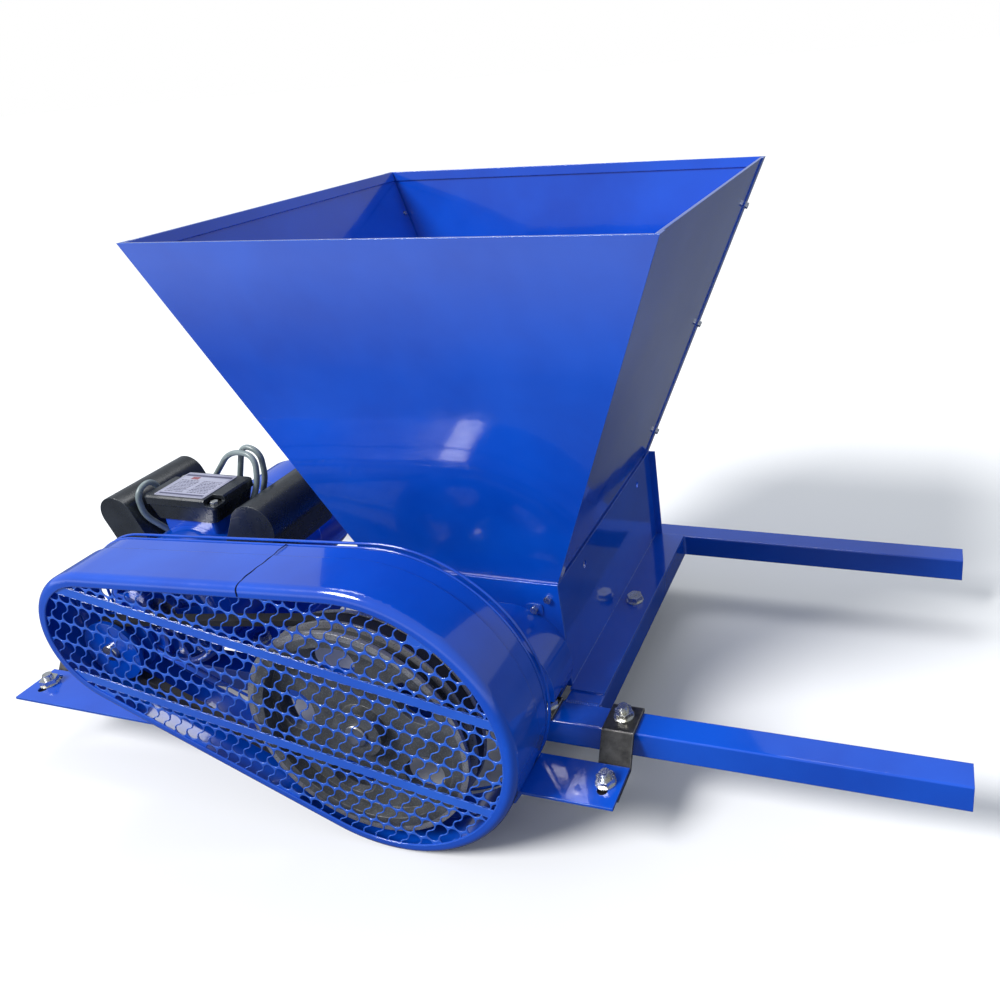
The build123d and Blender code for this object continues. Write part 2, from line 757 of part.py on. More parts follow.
with BuildPart() as v_belt:
    with BuildLine(face_on(rear_groove_y)) as belt_line:
        high_start = round_point(small_center, belt_small, high_angle)
        high_end = round_point(big_center, belt_big, high_angle)
        low_start = round_point(big_center, belt_big, low_angle)
        low_end = round_point(small_center, belt_small, low_angle)
        Line(high_start, high_end)
        ThreePointArc(high_end, round_point(big_center, belt_big, belt_tilt + pi), low_start)
        Line(low_start, low_end)
        ThreePointArc(low_end, round_point(small_center, belt_small, belt_tilt), high_start)
    run_start = Vector(high_start[0], rear_groove_y, high_start[1])
    run_end = Vector(high_end[0], rear_groove_y, high_end[1])
    with BuildSketch(Plane(origin=run_start, x_dir=(0, 1, 0), z_dir=run_end - run_start)) as belt_section:
        # the sketch's y points to the outside of the belt or to its inside, so ask the plane
        outward = Vector(cos(high_angle), 0, sin(high_angle))
        up = 1 if belt_section.workplanes[0].y_dir.dot(outward) > 0 else -1
        wide = belt_half(belt_out)
        narrow = belt_half(belt_out + belt_height)
        Polygon((-wide, up * belt_height / 2), (wide, up * belt_height / 2),
                (narrow, -up * belt_height / 2), (-narrow, -up * belt_height / 2), align=None)
    sweep(path=belt_line.wires()[0])
save(v_belt.part, "v_belt")

# ---------------------------------------------------------------- belt guard

with BuildPart() as guard_rim:
    guard_block(0, guard_front, guard_seam)
    fillet(guard_rim.faces().sort_by(Axis.Y)[0].edges(), guard_round)
    with BuildSketch(face_on(guard_seam)) as inner_outline:
        add(guard_outline(guard_sheet))
    inner_block = extrude(inner_outline.sketch, amount=guard_seam - guard_front - guard_sheet, mode=Mode.PRIVATE)
    inner_edges = inner_block.faces().sort_by(Axis.Y)[0].edges()
    add(inner_block.fillet(guard_round - guard_sheet, inner_edges), mode=Mode.SUBTRACT)
    guard_block(guard_lip, guard_front - 1, guard_front + 2 * guard_sheet, mode=Mode.SUBTRACT)
save(guard_rim.part, "guard_rim")

with BuildPart() as guard_shell:
    guard_block(guard_sheet, guard_seam - guard_overlap, guard_back)
    guard_block(2 * guard_sheet, guard_seam - guard_overlap - 1, guard_back + 1, mode=Mode.SUBTRACT)
save(guard_shell.part, "guard_shell")

guard_span = hypot(guard_big[0] - guard_small[0], guard_big[1] - guard_small[1])
guard_turn = degrees(atan2(guard_big[1] - guard_small[1], guard_big[0] - guard_small[0]))
guard_middle = ((guard_big[0] + guard_small[0]) / 2, (guard_big[1] + guard_small[1]) / 2)
mesh_front = guard_front + guard_sheet
mesh_back = mesh_front + mesh_sheet
mesh_rows = 2 * ceil(guard_big[2] / mesh_row) + 1
mesh_columns = 2 * ceil((guard_span / 2 + guard_big[2]) / mesh_column) + 1
mesh_turn = Location((0, 0, 0), (0, 0, guard_turn))

with BuildPart() as guard_mesh:
    guard_block(guard_round + 1, mesh_front, mesh_back)
    with BuildSketch(face_on(mesh_back + 1)):
        with Locations(guard_middle):
            with Locations(mesh_turn):
                with GridLocations(mesh_column, 2 * mesh_row, mesh_columns, mesh_rows // 2 + 1):
                    Circle(mesh_hole_r)
                with Locations((mesh_column / 2, mesh_row)):
                    with GridLocations(mesh_column, 2 * mesh_row, mesh_columns, mesh_rows // 2 + 1):
                        Circle(mesh_hole_r)
                with Locations((0, rib_offset), (0, -rib_offset)):
                    Rectangle(3 * guard_span, rib_width, mode=Mode.SUBTRACT)
        add(guard_outline(guard_lip), mode=Mode.INTERSECT)
    extrude(amount=mesh_sheet + 2, mode=Mode.SUBTRACT)
save(guard_mesh.part, "guard_mesh")

foot_ends = {"guard_foot_right": foot_right_end, "guard_foot_left": -foot_left_end}
for name, end in foot_ends.items():
    bolt_x = strap_right_x if end > 0 else -strap_left_x
    with BuildPart() as guard_foot:
        with BuildSketch(face_on(foot_back)):
            # lip that lies along the guard's wall
            add(guard_outline(-foot_sheet))
            with Locations((guard_big[0] + end / 2, foot_bottom - foot_lip / 2)):
                Rectangle(abs(end), foot_lip, mode=Mode.INTERSECT)
            with Locations(((guard_big[0] + end) / 2, (foot_top + foot_bottom) / 2)):
                Rectangle(abs(end - guard_big[0]), foot_sheet)
            add(guard_outline(0), mode=Mode.SUBTRACT)
        extrude(amount=foot_back - foot_front)
        # slot for the foot bolt, along Y
        with BuildSketch(Plane.XY.offset(foot_top)):
            with Locations((bolt_x, foot_bolt_y)):
                SlotOverall(foot_bolt_slot, 2 * m10_hole, rotation=90)
        extrude(amount=-foot_sheet, mode=Mode.SUBTRACT)
    save(guard_foot.part, name)

strap_low = foot_bottom - strap_sheet
with BuildPart() as guard_straps:
    for x in strap_xs:
        with BuildSketch(Plane.YZ.offset(x - strap_width / 2)):
            with BuildLine():
                Polyline((strap_rear, rail_size), (strap_bend, rail_size),
                         (strap_bend - strap_slope, strap_low), (foot_front + strap_short, strap_low),
                         (foot_front + strap_short, strap_low + strap_sheet),
                         (strap_bend - strap_slope - strap_turn, strap_low + strap_sheet),
                         (strap_bend - strap_turn, rail_size + strap_sheet),
                         (strap_rear, rail_size + strap_sheet), close=True)
            make_face()
        extrude(amount=strap_width)
        hole_down(x, rail_bolt_y, m10_hole, rail_size + strap_sheet, strap_sheet)
        hole_down(x, foot_bolt_y, m10_hole, foot_bottom, strap_sheet)
save(guard_straps.part, "guard_straps")

with BuildPart() as rail_clamp:
    with BuildSketch(Plane.XY.offset(rail_size)):
        with Locations((clamp_x, 0)):
            Rectangle(clamp_width, rail_size)
        with Locations((clamp_x, rail_bolt_y)):
            Circle(m10_hole, mode=Mode.SUBTRACT)
    extrude(amount=strap_sheet)
save(rail_clamp.part, "rail_clamp")

# the rail bolts' nuts are inside the tube, under its top wall
rail_grip = strap_sheet + tube_wall
with BuildPart() as guard_bolts:
    for x in strap_xs:
        bolt_down(x, rail_bolt_y, rail_size + strap_sheet, m10, rail_grip, stud=6)
        bolt_down(x, foot_bolt_y, foot_top, m10, foot_sheet + strap_sheet, stud=6)
    bolt_down(clamp_x, rail_bolt_y, rail_size + strap_sheet, m10, rail_grip)
save(guard_bolts.part, "guard_bolts")

# ---------------------------------------------------------------- motor
motor_center = (motor_x, motor_z)

with BuildPart() as motor_housing:
    ring_solid(motor_center, motor_r, motor_r - motor_wall, housing_front, housing_back)
save(motor_housing.part, "motor_housing")

with BuildPart() as motor_stator:
    with BuildSketch(face_on(housing_back - winding_space)):
        with Locations(motor_center):
            Circle(motor_r - motor_wall)
            Circle(stator_in_r, mode=Mode.SUBTRACT)
            with PolarLocations(stator_in_r + 12, 24):
                Circle(2.6, mode=Mode.SUBTRACT)
    extrude(amount=housing_length - 2 * winding_space)
save(motor_stator.part, "motor_stator")

with BuildPart() as motor_rotor:
    ring_solid(motor_center, stator_in_r - air_gap, motor_shaft_r,
               housing_front + winding_space - 2, housing_back - winding_space + 2)
save(motor_rotor.part, "motor_rotor")

with BuildPart() as motor_shaft:
    ring_solid(motor_center, motor_shaft_r, 0, small_front - 4, shield_back + 34)
    chamfer(motor_shaft.edges().filter_by(GeomType.CIRCLE), 0.8)
save(motor_shaft.part, "motor_shaft")

shield_screws = [round_point(motor_center, shield_screw_r, radians(45 + 90 * i)) for i in range(4)]
shields = {
    "motor_front_shield": (motor_front, housing_front, 9.0),
    "motor_rear_shield": (shield_back, housing_back, 4.0),
}
for name, (outer_face, open_face, rounding) in shields.items():
    low = min(open_face, outer_face)
    high = max(open_face, outer_face)
    outward = -1 if outer_face < open_face else 1
    with BuildPart() as shield:
        ring_solid(motor_center, motor_r, 0, low, high)
        fillet(shield.edges().filter_by(GeomType.CIRCLE).sort_by(Axis.Y)[0 if outward < 0 else -1], rounding)
        # hollow towards the stator, around the bearing boss
        with BuildSketch(face_on(max(open_face, open_face + outward * shield_hollow))):
            with Locations(motor_center):
                Circle(motor_r - 8)
                Circle(shaft_bearing_r + 7, mode=Mode.SUBTRACT)
        extrude(amount=shield_hollow, mode=Mode.SUBTRACT)
        # shallow cast windows in the outer face, leaving the radial ribs, the boss and the screw eyes
        with BuildSketch(face_on(max(outer_face, outer_face - outward * shield_window))):
            with Locations(motor_center):
                Circle(motor_r - 12)
                Circle(27, mode=Mode.SUBTRACT)
                with PolarLocations(45, shield_ribs, start_angle=15):
                    Rectangle(50, 5, mode=Mode.SUBTRACT)
            with Locations(*shield_screws):
                Circle(8, mode=Mode.SUBTRACT)
        extrude(amount=shield_window, mode=Mode.SUBTRACT)
        hole_y(motor_x, motor_z, shaft_bearing_r, low - 1, high + 1)
        for x, z in shield_screws:
            hole_y(x, z, m5_hole, low - 1, high + 1)
    save(shield.part, name)

with BuildPart() as motor_bearings:
    for front in (motor_front + 6, shield_back - 6 - motor_bearing_width):
        ring_solid(motor_center, shaft_bearing_r, motor_shaft_r + run_gap, front, front + motor_bearing_width)
save(motor_bearings.part, "motor_bearings")

fan_front = shield_back + 8
fan_cover_back = shield_back + fan_cover_length
with BuildPart() as motor_fan:
    ring_solid(motor_center, 16, motor_shaft_r, fan_front, fan_front + 24)
    ring_solid(motor_center, fan_r, 15, fan_front, fan_front + 2.5)
    with BuildSketch(face_on(fan_front + 22)):
        with Locations(motor_center):
            with PolarLocations((fan_r + 14) / 2, 8):
                Rectangle(fan_r - 15, 2.5)
    extrude(amount=22)
save(motor_fan.part, "motor_fan")

with BuildPart() as fan_cover:
    ring_solid(motor_center, fan_cover_r, 0, shield_back, fan_cover_back)
    fillet(fan_cover.edges().filter_by(GeomType.CIRCLE).sort_by(Axis.Y)[-1], fan_cover_round)
    with BuildSketch(face_on(fan_cover_back - fan_cover_sheet)) as inner_outline:
        with Locations(motor_center):
            Circle(fan_cover_r - fan_cover_sheet)
    inner_block = extrude(inner_outline.sketch, amount=fan_cover_length - fan_cover_sheet, mode=Mode.PRIVATE)
    inner_edge = inner_block.edges().filter_by(GeomType.CIRCLE).sort_by(Axis.Y)[-1]
    add(inner_block.fillet(fan_cover_round - fan_cover_sheet, [inner_edge]), mode=Mode.SUBTRACT)
    # air slots in the end
    with BuildSketch(face_on(fan_cover_back + 1)):
        with Locations(motor_center):
            for radius, count in ((24, 8), (38, 14), (52, 20)):
                with PolarLocations(radius, count):
                    SlotOverall(9, 4.5, rotation=90)
    extrude(amount=fan_cover_sheet + 2, mode=Mode.SUBTRACT)
save(fan_cover.part, "fan_cover")

with BuildPart() as motor_feet:
    for side, x in zip((-1, 1), foot_xs):
        outer_x = x + side * foot_margin
        web_x = motor_x + side * foot_web
        with BuildSketch(face_on(foot_ys[-1] + foot_margin)):
            with BuildLine():
                Polyline((outer_x, rail_size), (web_x, rail_size), (web_x, motor_z),
                         (web_x + side * foot_sheet, motor_z),
                         (web_x + side * foot_sheet, rail_size + motor_foot_sheet),
                         (outer_x, rail_size + motor_foot_sheet), close=True)
            make_face()
            with Locations(motor_center):
                Circle(motor_r, mode=Mode.SUBTRACT)
        extrude(amount=foot_pitch + 2 * foot_margin)
        for y in foot_ys:
            hole_down(x, y, m10_hole, rail_size + motor_foot_sheet, motor_foot_sheet)
save(motor_feet.part, "motor_feet")

with BuildPart() as motor_bolts:
    for x in foot_xs:
        for y in foot_ys:
            bolt_down(x, y, rail_size + motor_foot_sheet, m10, rail_size + motor_foot_sheet)
save(motor_bolts.part, "motor_bolts")

# ---------------------------------------------------------------- terminal box
box_mid_y = (box_front + box_back) / 2
box_length = box_back - box_front
lid_bottom = box_top - lid_depth
base_half = box_half - box_taper
notch_floor = lid_bottom + lid_notch_floor
lid_screw_spots = [(motor_x + i * (box_half - lid_screw_in), box_mid_y - i * (box_length / 2 - lid_screw_in))
                   for i in (-1, 1)]

with BuildPart() as box_pedestal:
    with BuildSketch(Plane.XY.offset(box_bottom)):
        with Locations((motor_x, box_mid_y)):
            RectangleRounded(2 * (base_half - pedestal_in), box_length - 10, 4)
            Rectangle(40, 26, mode=Mode.SUBTRACT)
    extrude(amount=motor_z - box_bottom)
    hole_y(motor_x, motor_z, motor_r, box_front - 5, box_back + 5)
    split(bisect_by=Plane.XY.offset(motor_z + motor_r / 2), keep=Keep.TOP)
save(box_pedestal.part, "box_pedestal")


def box_shell(inset, low, mode=Mode.ADD):
    """The terminal box's tapered body from low up to its lid, moved inwards by inset."""
    with BuildSketch(Plane.XY.offset(low)) as base:
        with Locations((motor_x, box_mid_y)):
            RectangleRounded(2 * (base_half - inset), box_length - 6 - 2 * inset, 5)
    with BuildSketch(Plane.XY.offset(lid_bottom)) as mouth:
        with Locations((motor_x, box_mid_y)):
            RectangleRounded(2 * (box_half - 2 - inset), box_length - 2 - 2 * inset, 5)
    loft([base.sketch.face(), mouth.sketch.face()], mode=mode)


with BuildPart() as terminal_box:
    box_shell(0, box_bottom)
    box_shell(box_wall, box_bottom + box_wall, mode=Mode.SUBTRACT)
    with BuildSketch(Plane.XY.offset(box_bottom + box_wall)):
        with Locations((motor_x, box_mid_y)):
            Rectangle(34, 20)
    extrude(amount=-2 * box_wall, mode=Mode.SUBTRACT)
save(terminal_box.part, "terminal_box")

with BuildPart() as box_lid:
    with BuildSketch(Plane.XY.offset(lid_bottom)):
        with Locations((motor_x, box_mid_y)):
            RectangleRounded(2 * box_half, box_length, 5)
    extrude(amount=lid_depth)
    chamfer(box_lid.faces().sort_by(Axis.Z)[-1].edges(), 2)
    with BuildSketch(Plane.XY.offset(lid_bottom)):
        with Locations((motor_x, box_mid_y)):
            RectangleRounded(2 * (box_half - 2 * box_wall), box_length - 4 * box_wall, 3)
    extrude(amount=lid_depth - 2 * box_wall, mode=Mode.SUBTRACT)
    # corner notches for the lid screws
    with BuildSketch(Plane.XY.offset(notch_floor)):
        with Locations(*lid_screw_spots):
            RectangleRounded(lid_notch + 2, lid_notch + 2, 3)
    extrude(amount=lid_depth, mode=Mode.SUBTRACT)
    with BuildSketch(Plane.XY.offset(lid_bottom)):
        with Locations(*lid_screw_spots):
            RectangleRounded(lid_notch, lid_notch, 3)
    extrude(amount=lid_notch_floor)
    for x, y in lid_screw_spots:
        hole_down(x, y, m5_hole, notch_floor, lid_notch_floor)
save(box_lid.part, "box_lid")

with BuildPart() as motor_screws:
    for x, z in shield_screws:
        screw_along((x, motor_front, z), (0, -1, 0), m5, shield_depth)
        screw_along((x, shield_back, z), (0, 1, 0), m5, shield_depth)
    for x, y in lid_screw_spots:
        screw_along((x, y, notch_floor), (0, 0, 1), m5, lid_notch_floor)
save(motor_screws.part, "motor_screws")

with BuildPart() as nameplate:
    with BuildSketch(Plane.XY.offset(box_top)):
        with Locations((motor_x + plate_shift, box_mid_y)):
            RectangleRounded(plate_length, plate_width, 2)
    extrude(amount=0.6)
save(nameplate.part, "nameplate")

# ---------------------------------------------------------------- capacitors
for name, (x, z, radius, lean, front, length) in capacitor_places.items():
    leg = hypot(x - motor_x, z - motor_z) - motor_r + radius / 2
    along = (cos(radians(lean)), 0, sin(radians(lean)))
    section = Plane(origin=(x, front + length, z), x_dir=along, z_dir=(0, -1, 0))
    with BuildPart() as capacitor_cover:
        with BuildSketch(section):
            Circle(radius)
            with Locations((0, -leg / 2)):
                Rectangle(2 * radius, leg)
        extrude(amount=length)
        with BuildSketch(section.offset(cover_wall)):
            Circle(radius - cover_wall)
            with Locations((0, -leg / 2)):
                Rectangle(2 * (radius - cover_wall), leg)
        extrude(amount=length - 2 * cover_wall, mode=Mode.SUBTRACT)
        hole_y(motor_x, motor_z, motor_r, front - 1, front + length + 1)
        split(bisect_by=Plane.XY.offset(motor_z + motor_r / 3), keep=Keep.TOP)
    save(capacitor_cover.part, f"capacitor_cover_{name}")

with BuildPart() as capacitors:
    for x, z, radius, lean, front, length in capacitor_places.values():
        ring_solid((x, z), radius - cover_wall, 0, front + cover_wall + 4, front + length - cover_wall - 4)
save(capacitors.part, "capacitors")

# leads: straight runs joined by arcs, all held between the box's glands and the motor
rear_gland_y = box_back - 3
lead_routes = {
    "front": ([(-386, rear_gland_y, 204), (-386, 116, 204), (-338, 110, 253), (-299.5, 105, 247),
               (-298.5, 97, 212), (-313, 68, 166)], [10, 50, 16, 80]),
    "rear": ([(-345, rear_gland_y, 204), (-345, 116, 204), (-330, 120, 254), (-303, 118, 248),
              (-305, 118, 215), (-324, 118, 172)], [10, 13, 15, 60]),
    "left": ([(motor_x - base_half, 72, 204), (-419, 72, 206), (-418, 60, 232), (-418, 38, 226),
              (-418, 38, 195), (-405, 52, 168)], [10, 12, 15, 40]),
}

with BuildPart() as capacitor_leads:
    for points, radii in lead_routes.values():
        with BuildLine() as route:
            FilletPolyline(*points, radius=radii)
        start = Vector(*points[0])
        with BuildSketch(Plane(origin=start, z_dir=Vector(*points[1]) - start)) as lead_section:
            Circle(lead_r)
        sweep(lead_section.sketch, path=route.wires()[0])
    hole_y(motor_x, motor_z, motor_r, box_front - 10, box_back + 40)
    box_shell(0, box_bottom, mode=Mode.SUBTRACT)
save(capacitor_leads.part, "capacitor_leads")

with BuildPart() as cable_glands:
    for points, _ in lead_routes.values():
        start = Vector(*points[0])
        run = (Vector(*points[1]) - start).normalized()
        with BuildSketch(Plane(origin=start, z_dir=run)) as gland:
            RegularPolygon(gland_r, 6, major_radius=False)
            Circle(lead_r, mode=Mode.SUBTRACT)
        extrude(gland.sketch, amount=gland_length)
    box_shell(0, box_bottom, mode=Mode.SUBTRACT)
save(cable_glands.part, "cable_glands")
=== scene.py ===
"""The look of an electric grape crusher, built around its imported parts.

Lengths are in metres. +X runs along the two rails, +Y from the belt guard to the back and
+Z up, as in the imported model. Each sub-assembly is a class that makes its own fine pieces:
the punched screen and rolled edges of the belt guard, the weld beads of the frame, the
threads of the studs and the printing on the motor's plate. Each finish is a frozen
dataclass that builds one procedural material.
"""

import json
import logging
import math
from dataclasses import dataclass, field
from enum import Enum
from typing import Sequence

import bpy
import numpy as np
from mathutils import Euler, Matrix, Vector
from mathutils.geometry import delaunay_2d_cdt

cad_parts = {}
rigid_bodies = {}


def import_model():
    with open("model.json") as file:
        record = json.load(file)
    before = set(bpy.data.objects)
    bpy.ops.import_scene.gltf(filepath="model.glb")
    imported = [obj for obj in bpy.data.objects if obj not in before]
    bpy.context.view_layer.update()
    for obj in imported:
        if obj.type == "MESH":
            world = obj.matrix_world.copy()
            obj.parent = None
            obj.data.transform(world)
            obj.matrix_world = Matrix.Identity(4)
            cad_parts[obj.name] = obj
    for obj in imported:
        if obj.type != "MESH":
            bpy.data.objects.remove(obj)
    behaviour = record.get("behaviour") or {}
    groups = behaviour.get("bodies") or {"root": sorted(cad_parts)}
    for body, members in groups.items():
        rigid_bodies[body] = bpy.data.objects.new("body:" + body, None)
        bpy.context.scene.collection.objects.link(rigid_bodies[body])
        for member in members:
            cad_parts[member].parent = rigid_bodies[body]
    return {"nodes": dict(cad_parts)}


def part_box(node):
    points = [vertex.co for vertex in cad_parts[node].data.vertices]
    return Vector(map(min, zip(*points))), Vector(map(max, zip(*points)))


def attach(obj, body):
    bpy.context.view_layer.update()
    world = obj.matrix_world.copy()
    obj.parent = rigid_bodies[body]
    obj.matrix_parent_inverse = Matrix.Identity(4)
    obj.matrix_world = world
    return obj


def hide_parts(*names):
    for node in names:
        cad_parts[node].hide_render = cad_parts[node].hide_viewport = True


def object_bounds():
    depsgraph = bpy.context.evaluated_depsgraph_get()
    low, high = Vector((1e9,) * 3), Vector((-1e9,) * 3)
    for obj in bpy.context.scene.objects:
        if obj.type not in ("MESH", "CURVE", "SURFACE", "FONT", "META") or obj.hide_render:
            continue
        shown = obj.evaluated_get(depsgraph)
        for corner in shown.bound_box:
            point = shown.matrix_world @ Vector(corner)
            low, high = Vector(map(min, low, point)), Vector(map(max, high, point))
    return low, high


for leftover in list(bpy.data.objects):
    bpy.data.objects.remove(leftover)
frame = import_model()
cad_box = [list(corner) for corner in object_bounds()]

MM = 0.001
FULL_TURN = 2 * math.pi
log = logging.getLogger("grape_crusher")

Colour = tuple[float, float, float]


class Body(Enum):
    """The rigid bodies that a piece can ride on."""

    FRAME = "frame"
    DRIVE = "drive"
    DRIVEN = "driven"
    ROTOR = "rotor"


# ------------------------------------------------------------------ meshes


def add_piece(name: str, points: np.ndarray, faces: np.ndarray | list, material: bpy.types.Material,
              body: Body, slot: str, smooth: bool = True) -> bpy.types.Object:
    """Makes a mesh object from whole arrays and lets it ride on a body.

    Args:
        name: the piece's name.
        points: vertex places, one row of three metres each.
        faces: vertex numbers of each face.
        material: the piece's finish.
        body: the body that it moves with.
        slot: the record's material slot that it belongs to; not used.
        smooth: whether its faces are shaded smooth.

    Returns:
        The new object.
    """
    mesh = bpy.data.meshes.new(name)
    rows = faces.tolist() if isinstance(faces, np.ndarray) else faces
    mesh.from_pydata(np.asarray(points, float).tolist(), [], rows)
    mesh.polygons.foreach_set("use_smooth", np.full(len(mesh.polygons), smooth))
    mesh.materials.append(material)
    mesh.update()
    piece = bpy.data.objects.new(name, mesh)
    bpy.context.scene.collection.objects.link(piece)
    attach(piece, body.value)
    log.info("%s: %d faces on %s", name, len(mesh.polygons), body.value)
    return piece


def grid_faces(rows: int, columns: int, close_rows: bool = False, close_columns: bool = False,
               first: int = 0) -> np.ndarray:
    """Quads between the neighbours of a rows x columns grid of points.

    Args:
        rows: points along the first parameter.
        columns: points along the second parameter.
        close_rows: whether the last row joins the first.
        close_columns: whether the last column joins the first.
        first: number of the grid's first vertex.

    Returns:
        An array of four vertex numbers per face.
    """
    i = np.arange(rows if close_rows else rows - 1)[:, None]
    j = np.arange(columns if close_columns else columns - 1)[None, :]
    i_next = (i + 1) % rows
    j_next = (j + 1) % columns
    corners = [i * columns + j, i_next * columns + j, i_next * columns + j_next, i * columns + j_next]
    return np.stack([np.broadcast_to(c, (i.size, j.size)).ravel() for c in corners], axis=1) + first


def merge(parts: Sequence[tuple[np.ndarray, np.ndarray]]) -> tuple[np.ndarray, np.ndarray]:
    """Joins several (points, quads) pairs into one pair, with the vertex numbers moved up."""
    starts = np.cumsum([0] + [len(points) for points, _ in parts[:-1]])
    points = np.concatenate([points for points, _ in parts])
    quads = np.concatenate([faces + start for (_, faces), start in zip(parts, starts)])
    return points, quads


def tube(path: np.ndarray, radius: np.ndarray | float, sides: int = 10,
         closed: bool = False, up: Colour = (0.0, 0.0, 1.0)) -> tuple[np.ndarray, np.ndarray]:
    """A round profile carried along a path.

    At each point of the path the circle stands square to the path's direction: point =
    path + radius * (cos(t) * side + sin(t) * over), where side and over are the two unit
    vectors square to the direction. The ends of an open tube shrink to a point.

    Args:
        path: centre line, one row of three metres per point.
        radius: the tube's radius, one value or one per point.
        sides: points around the profile.
        closed: whether the path's last point joins its first.
        up: a direction that the path never takes.

    Returns:
        The points and the quads of the tube.
    """
    if closed:
        ahead = np.roll(path, -1, axis=0) - np.roll(path, 1, axis=0)
    else:
        ahead = np.gradient(path, axis=0)
    ahead /= np.linalg.norm(ahead, axis=1, keepdims=True)
    side = np.cross(ahead, np.asarray(up, float))
    side /= np.linalg.norm(side, axis=1, keepdims=True)
    over = np.cross(side, ahead)
    radii = np.broadcast_to(np.asarray(radius, float), len(path)).copy()
    if not closed:
        radii[[0, -1]] *= 0.05
    turn = np.linspace(0, FULL_TURN, sides, endpoint=False)
    ring = np.cos(turn)[None, :, None] * side[:, None, :] + np.sin(turn)[None, :, None] * over[:, None, :]
    points = path[:, None, :] + radii[:, None, None] * ring
    return points.reshape(-1, 3), grid_faces(len(path), sides, close_rows=closed, close_columns=True)


def line(start: Sequence[float], end: Sequence[float], count: int) -> np.ndarray:
    """Evenly spaced points from start to end, both included."""
    share = np.linspace(0, 1, count)[:, None]
    return np.asarray(start, float) * (1 - share) + np.asarray(end, float) * share


# ------------------------------------------------------------------ finishes


class Graph:
    """A material's node tree, built a node at a time around one Principled shader."""

    def __init__(self, name: str) -> None:
        """Starts an empty tree whose patterns lie in Object coordinates."""
        self.material = bpy.data.materials.new(name)
        self.material.use_nodes = True
        self.tree = self.material.node_tree
        self.tree.nodes.clear()
        output = self.tree.nodes.new("ShaderNodeOutputMaterial")
        self.shader = self.tree.nodes.new("ShaderNodeBsdfPrincipled")
        self.tree.links.new(self.shader.outputs["BSDF"], output.inputs["Surface"])
        self.place = self.tree.nodes.new("ShaderNodeTexCoord").outputs["Object"]

    def add(self, kind: str, **values: object) -> bpy.types.Node:
        """Adds a node and sets or links its inputs by name."""
        node = self.tree.nodes.new(kind)
        for name, value in values.items():
            self.put(node.inputs[name.replace("_", " ")], value)
        return node

    def put(self, socket: bpy.types.NodeSocket, value: object) -> None:
        """Links a socket to another one, or sets its plain value."""
        if isinstance(value, bpy.types.NodeSocket):
            self.tree.links.new(value, socket)
        elif isinstance(value, tuple) and len(value) == 3 and socket.type == "RGBA":
            socket.default_value = (*value, 1.0)
        else:
            socket.default_value = value

    def stretched(self, scale: Colour) -> bpy.types.NodeSocket:
        """Object coordinates stretched along the axes, for brushed or turned marks."""
        return self.add("ShaderNodeMapping", Vector=self.place, Scale=scale).outputs["Vector"]

    def noise(self, scale: float, detail: float = 3.0, rough: float = 0.5,
              at: bpy.types.NodeSocket | None = None) -> bpy.types.NodeSocket:
        """Fractal noise from 0 to 1, with scale in waves per metre."""
        node = self.add("ShaderNodeTexNoise", Vector=at or self.place, Scale=scale, Detail=detail,
                        Roughness=rough)
        return node.outputs["Fac"]

    def cells(self, scale: float) -> bpy.types.NodeSocket:
        """Distance to the nearest point of a random scatter, for pits and grains."""
        return self.add("ShaderNodeTexVoronoi", Vector=self.place, Scale=scale).outputs["Distance"]

    def span(self, value: bpy.types.NodeSocket, start: float, end: float, low: float = 0.0,
             high: float = 1.0) -> bpy.types.NodeSocket:
        """Maps start..end onto low..high, held at both ends."""
        node = self.add("ShaderNodeMapRange", Value=value)
        for name, number in (("From Min", start), ("From Max", end), ("To Min", low), ("To Max", high)):
            node.inputs[name].default_value = number
        return node.outputs["Result"]

    def times(self, a: bpy.types.NodeSocket, b: bpy.types.NodeSocket | float) -> bpy.types.NodeSocket:
        """The product of two values."""
        return self.combine("MULTIPLY", a, b)

    def combine(self, way: str, a: bpy.types.NodeSocket,
                b: bpy.types.NodeSocket | float) -> bpy.types.NodeSocket:
        """One of Blender's two-value sums."""
        node = self.tree.nodes.new("ShaderNodeMath")
        node.operation = way
        self.put(node.inputs[0], a)
        self.put(node.inputs[1], b)
        return node.outputs["Value"]

    def mix(self, share: bpy.types.NodeSocket, a: object, b: object) -> bpy.types.NodeSocket:
        """Colour a where share is 0 and colour b where it is 1."""
        node = self.tree.nodes.new("ShaderNodeMix")
        node.data_type = "RGBA"
        self.put(node.inputs["Factor"], share)
        self.put(node.inputs[6], a)
        self.put(node.inputs[7], b)
        return node.outputs[2]

    def rounded(self, radius: float) -> bpy.types.NodeSocket:
        """Normals that turn smoothly over an edge, within a radius of it."""
        node = self.add("ShaderNodeBevel", Radius=radius)
        node.samples = 4
        return node.outputs["Normal"]

    def edges(self, normal: bpy.types.NodeSocket) -> bpy.types.NodeSocket:
        """1 along edges and 0 on flat stretches: how far the rounded normal leaves the face's."""
        flat = self.tree.nodes.new("ShaderNodeNewGeometry").outputs["Normal"]
        node = self.tree.nodes.new("ShaderNodeVectorMath")
        node.operation = "DOT_PRODUCT"
        self.put(node.inputs[0], normal)
        self.put(node.inputs[1], flat)
        return self.span(node.outputs["Value"], 0.985, 0.80)

    def bump(self, height: bpy.types.NodeSocket, strength: float, distance: float,
             normal: bpy.types.NodeSocket | None = None) -> bpy.types.NodeSocket:
        """Normals bent by a height pattern, on top of other normals."""
        node = self.add("ShaderNodeBump", Height=height, Strength=strength, Distance=distance)
        if normal is not None:
            self.put(node.inputs["Normal"], normal)
        return node.outputs["Normal"]

    def finish(self, **values: object) -> bpy.types.Material:
        """Sets the shader's inputs and returns the material."""
        for name, value in values.items():
            self.put(self.shader.inputs[name.replace("_", " ")], value)
        return self.material


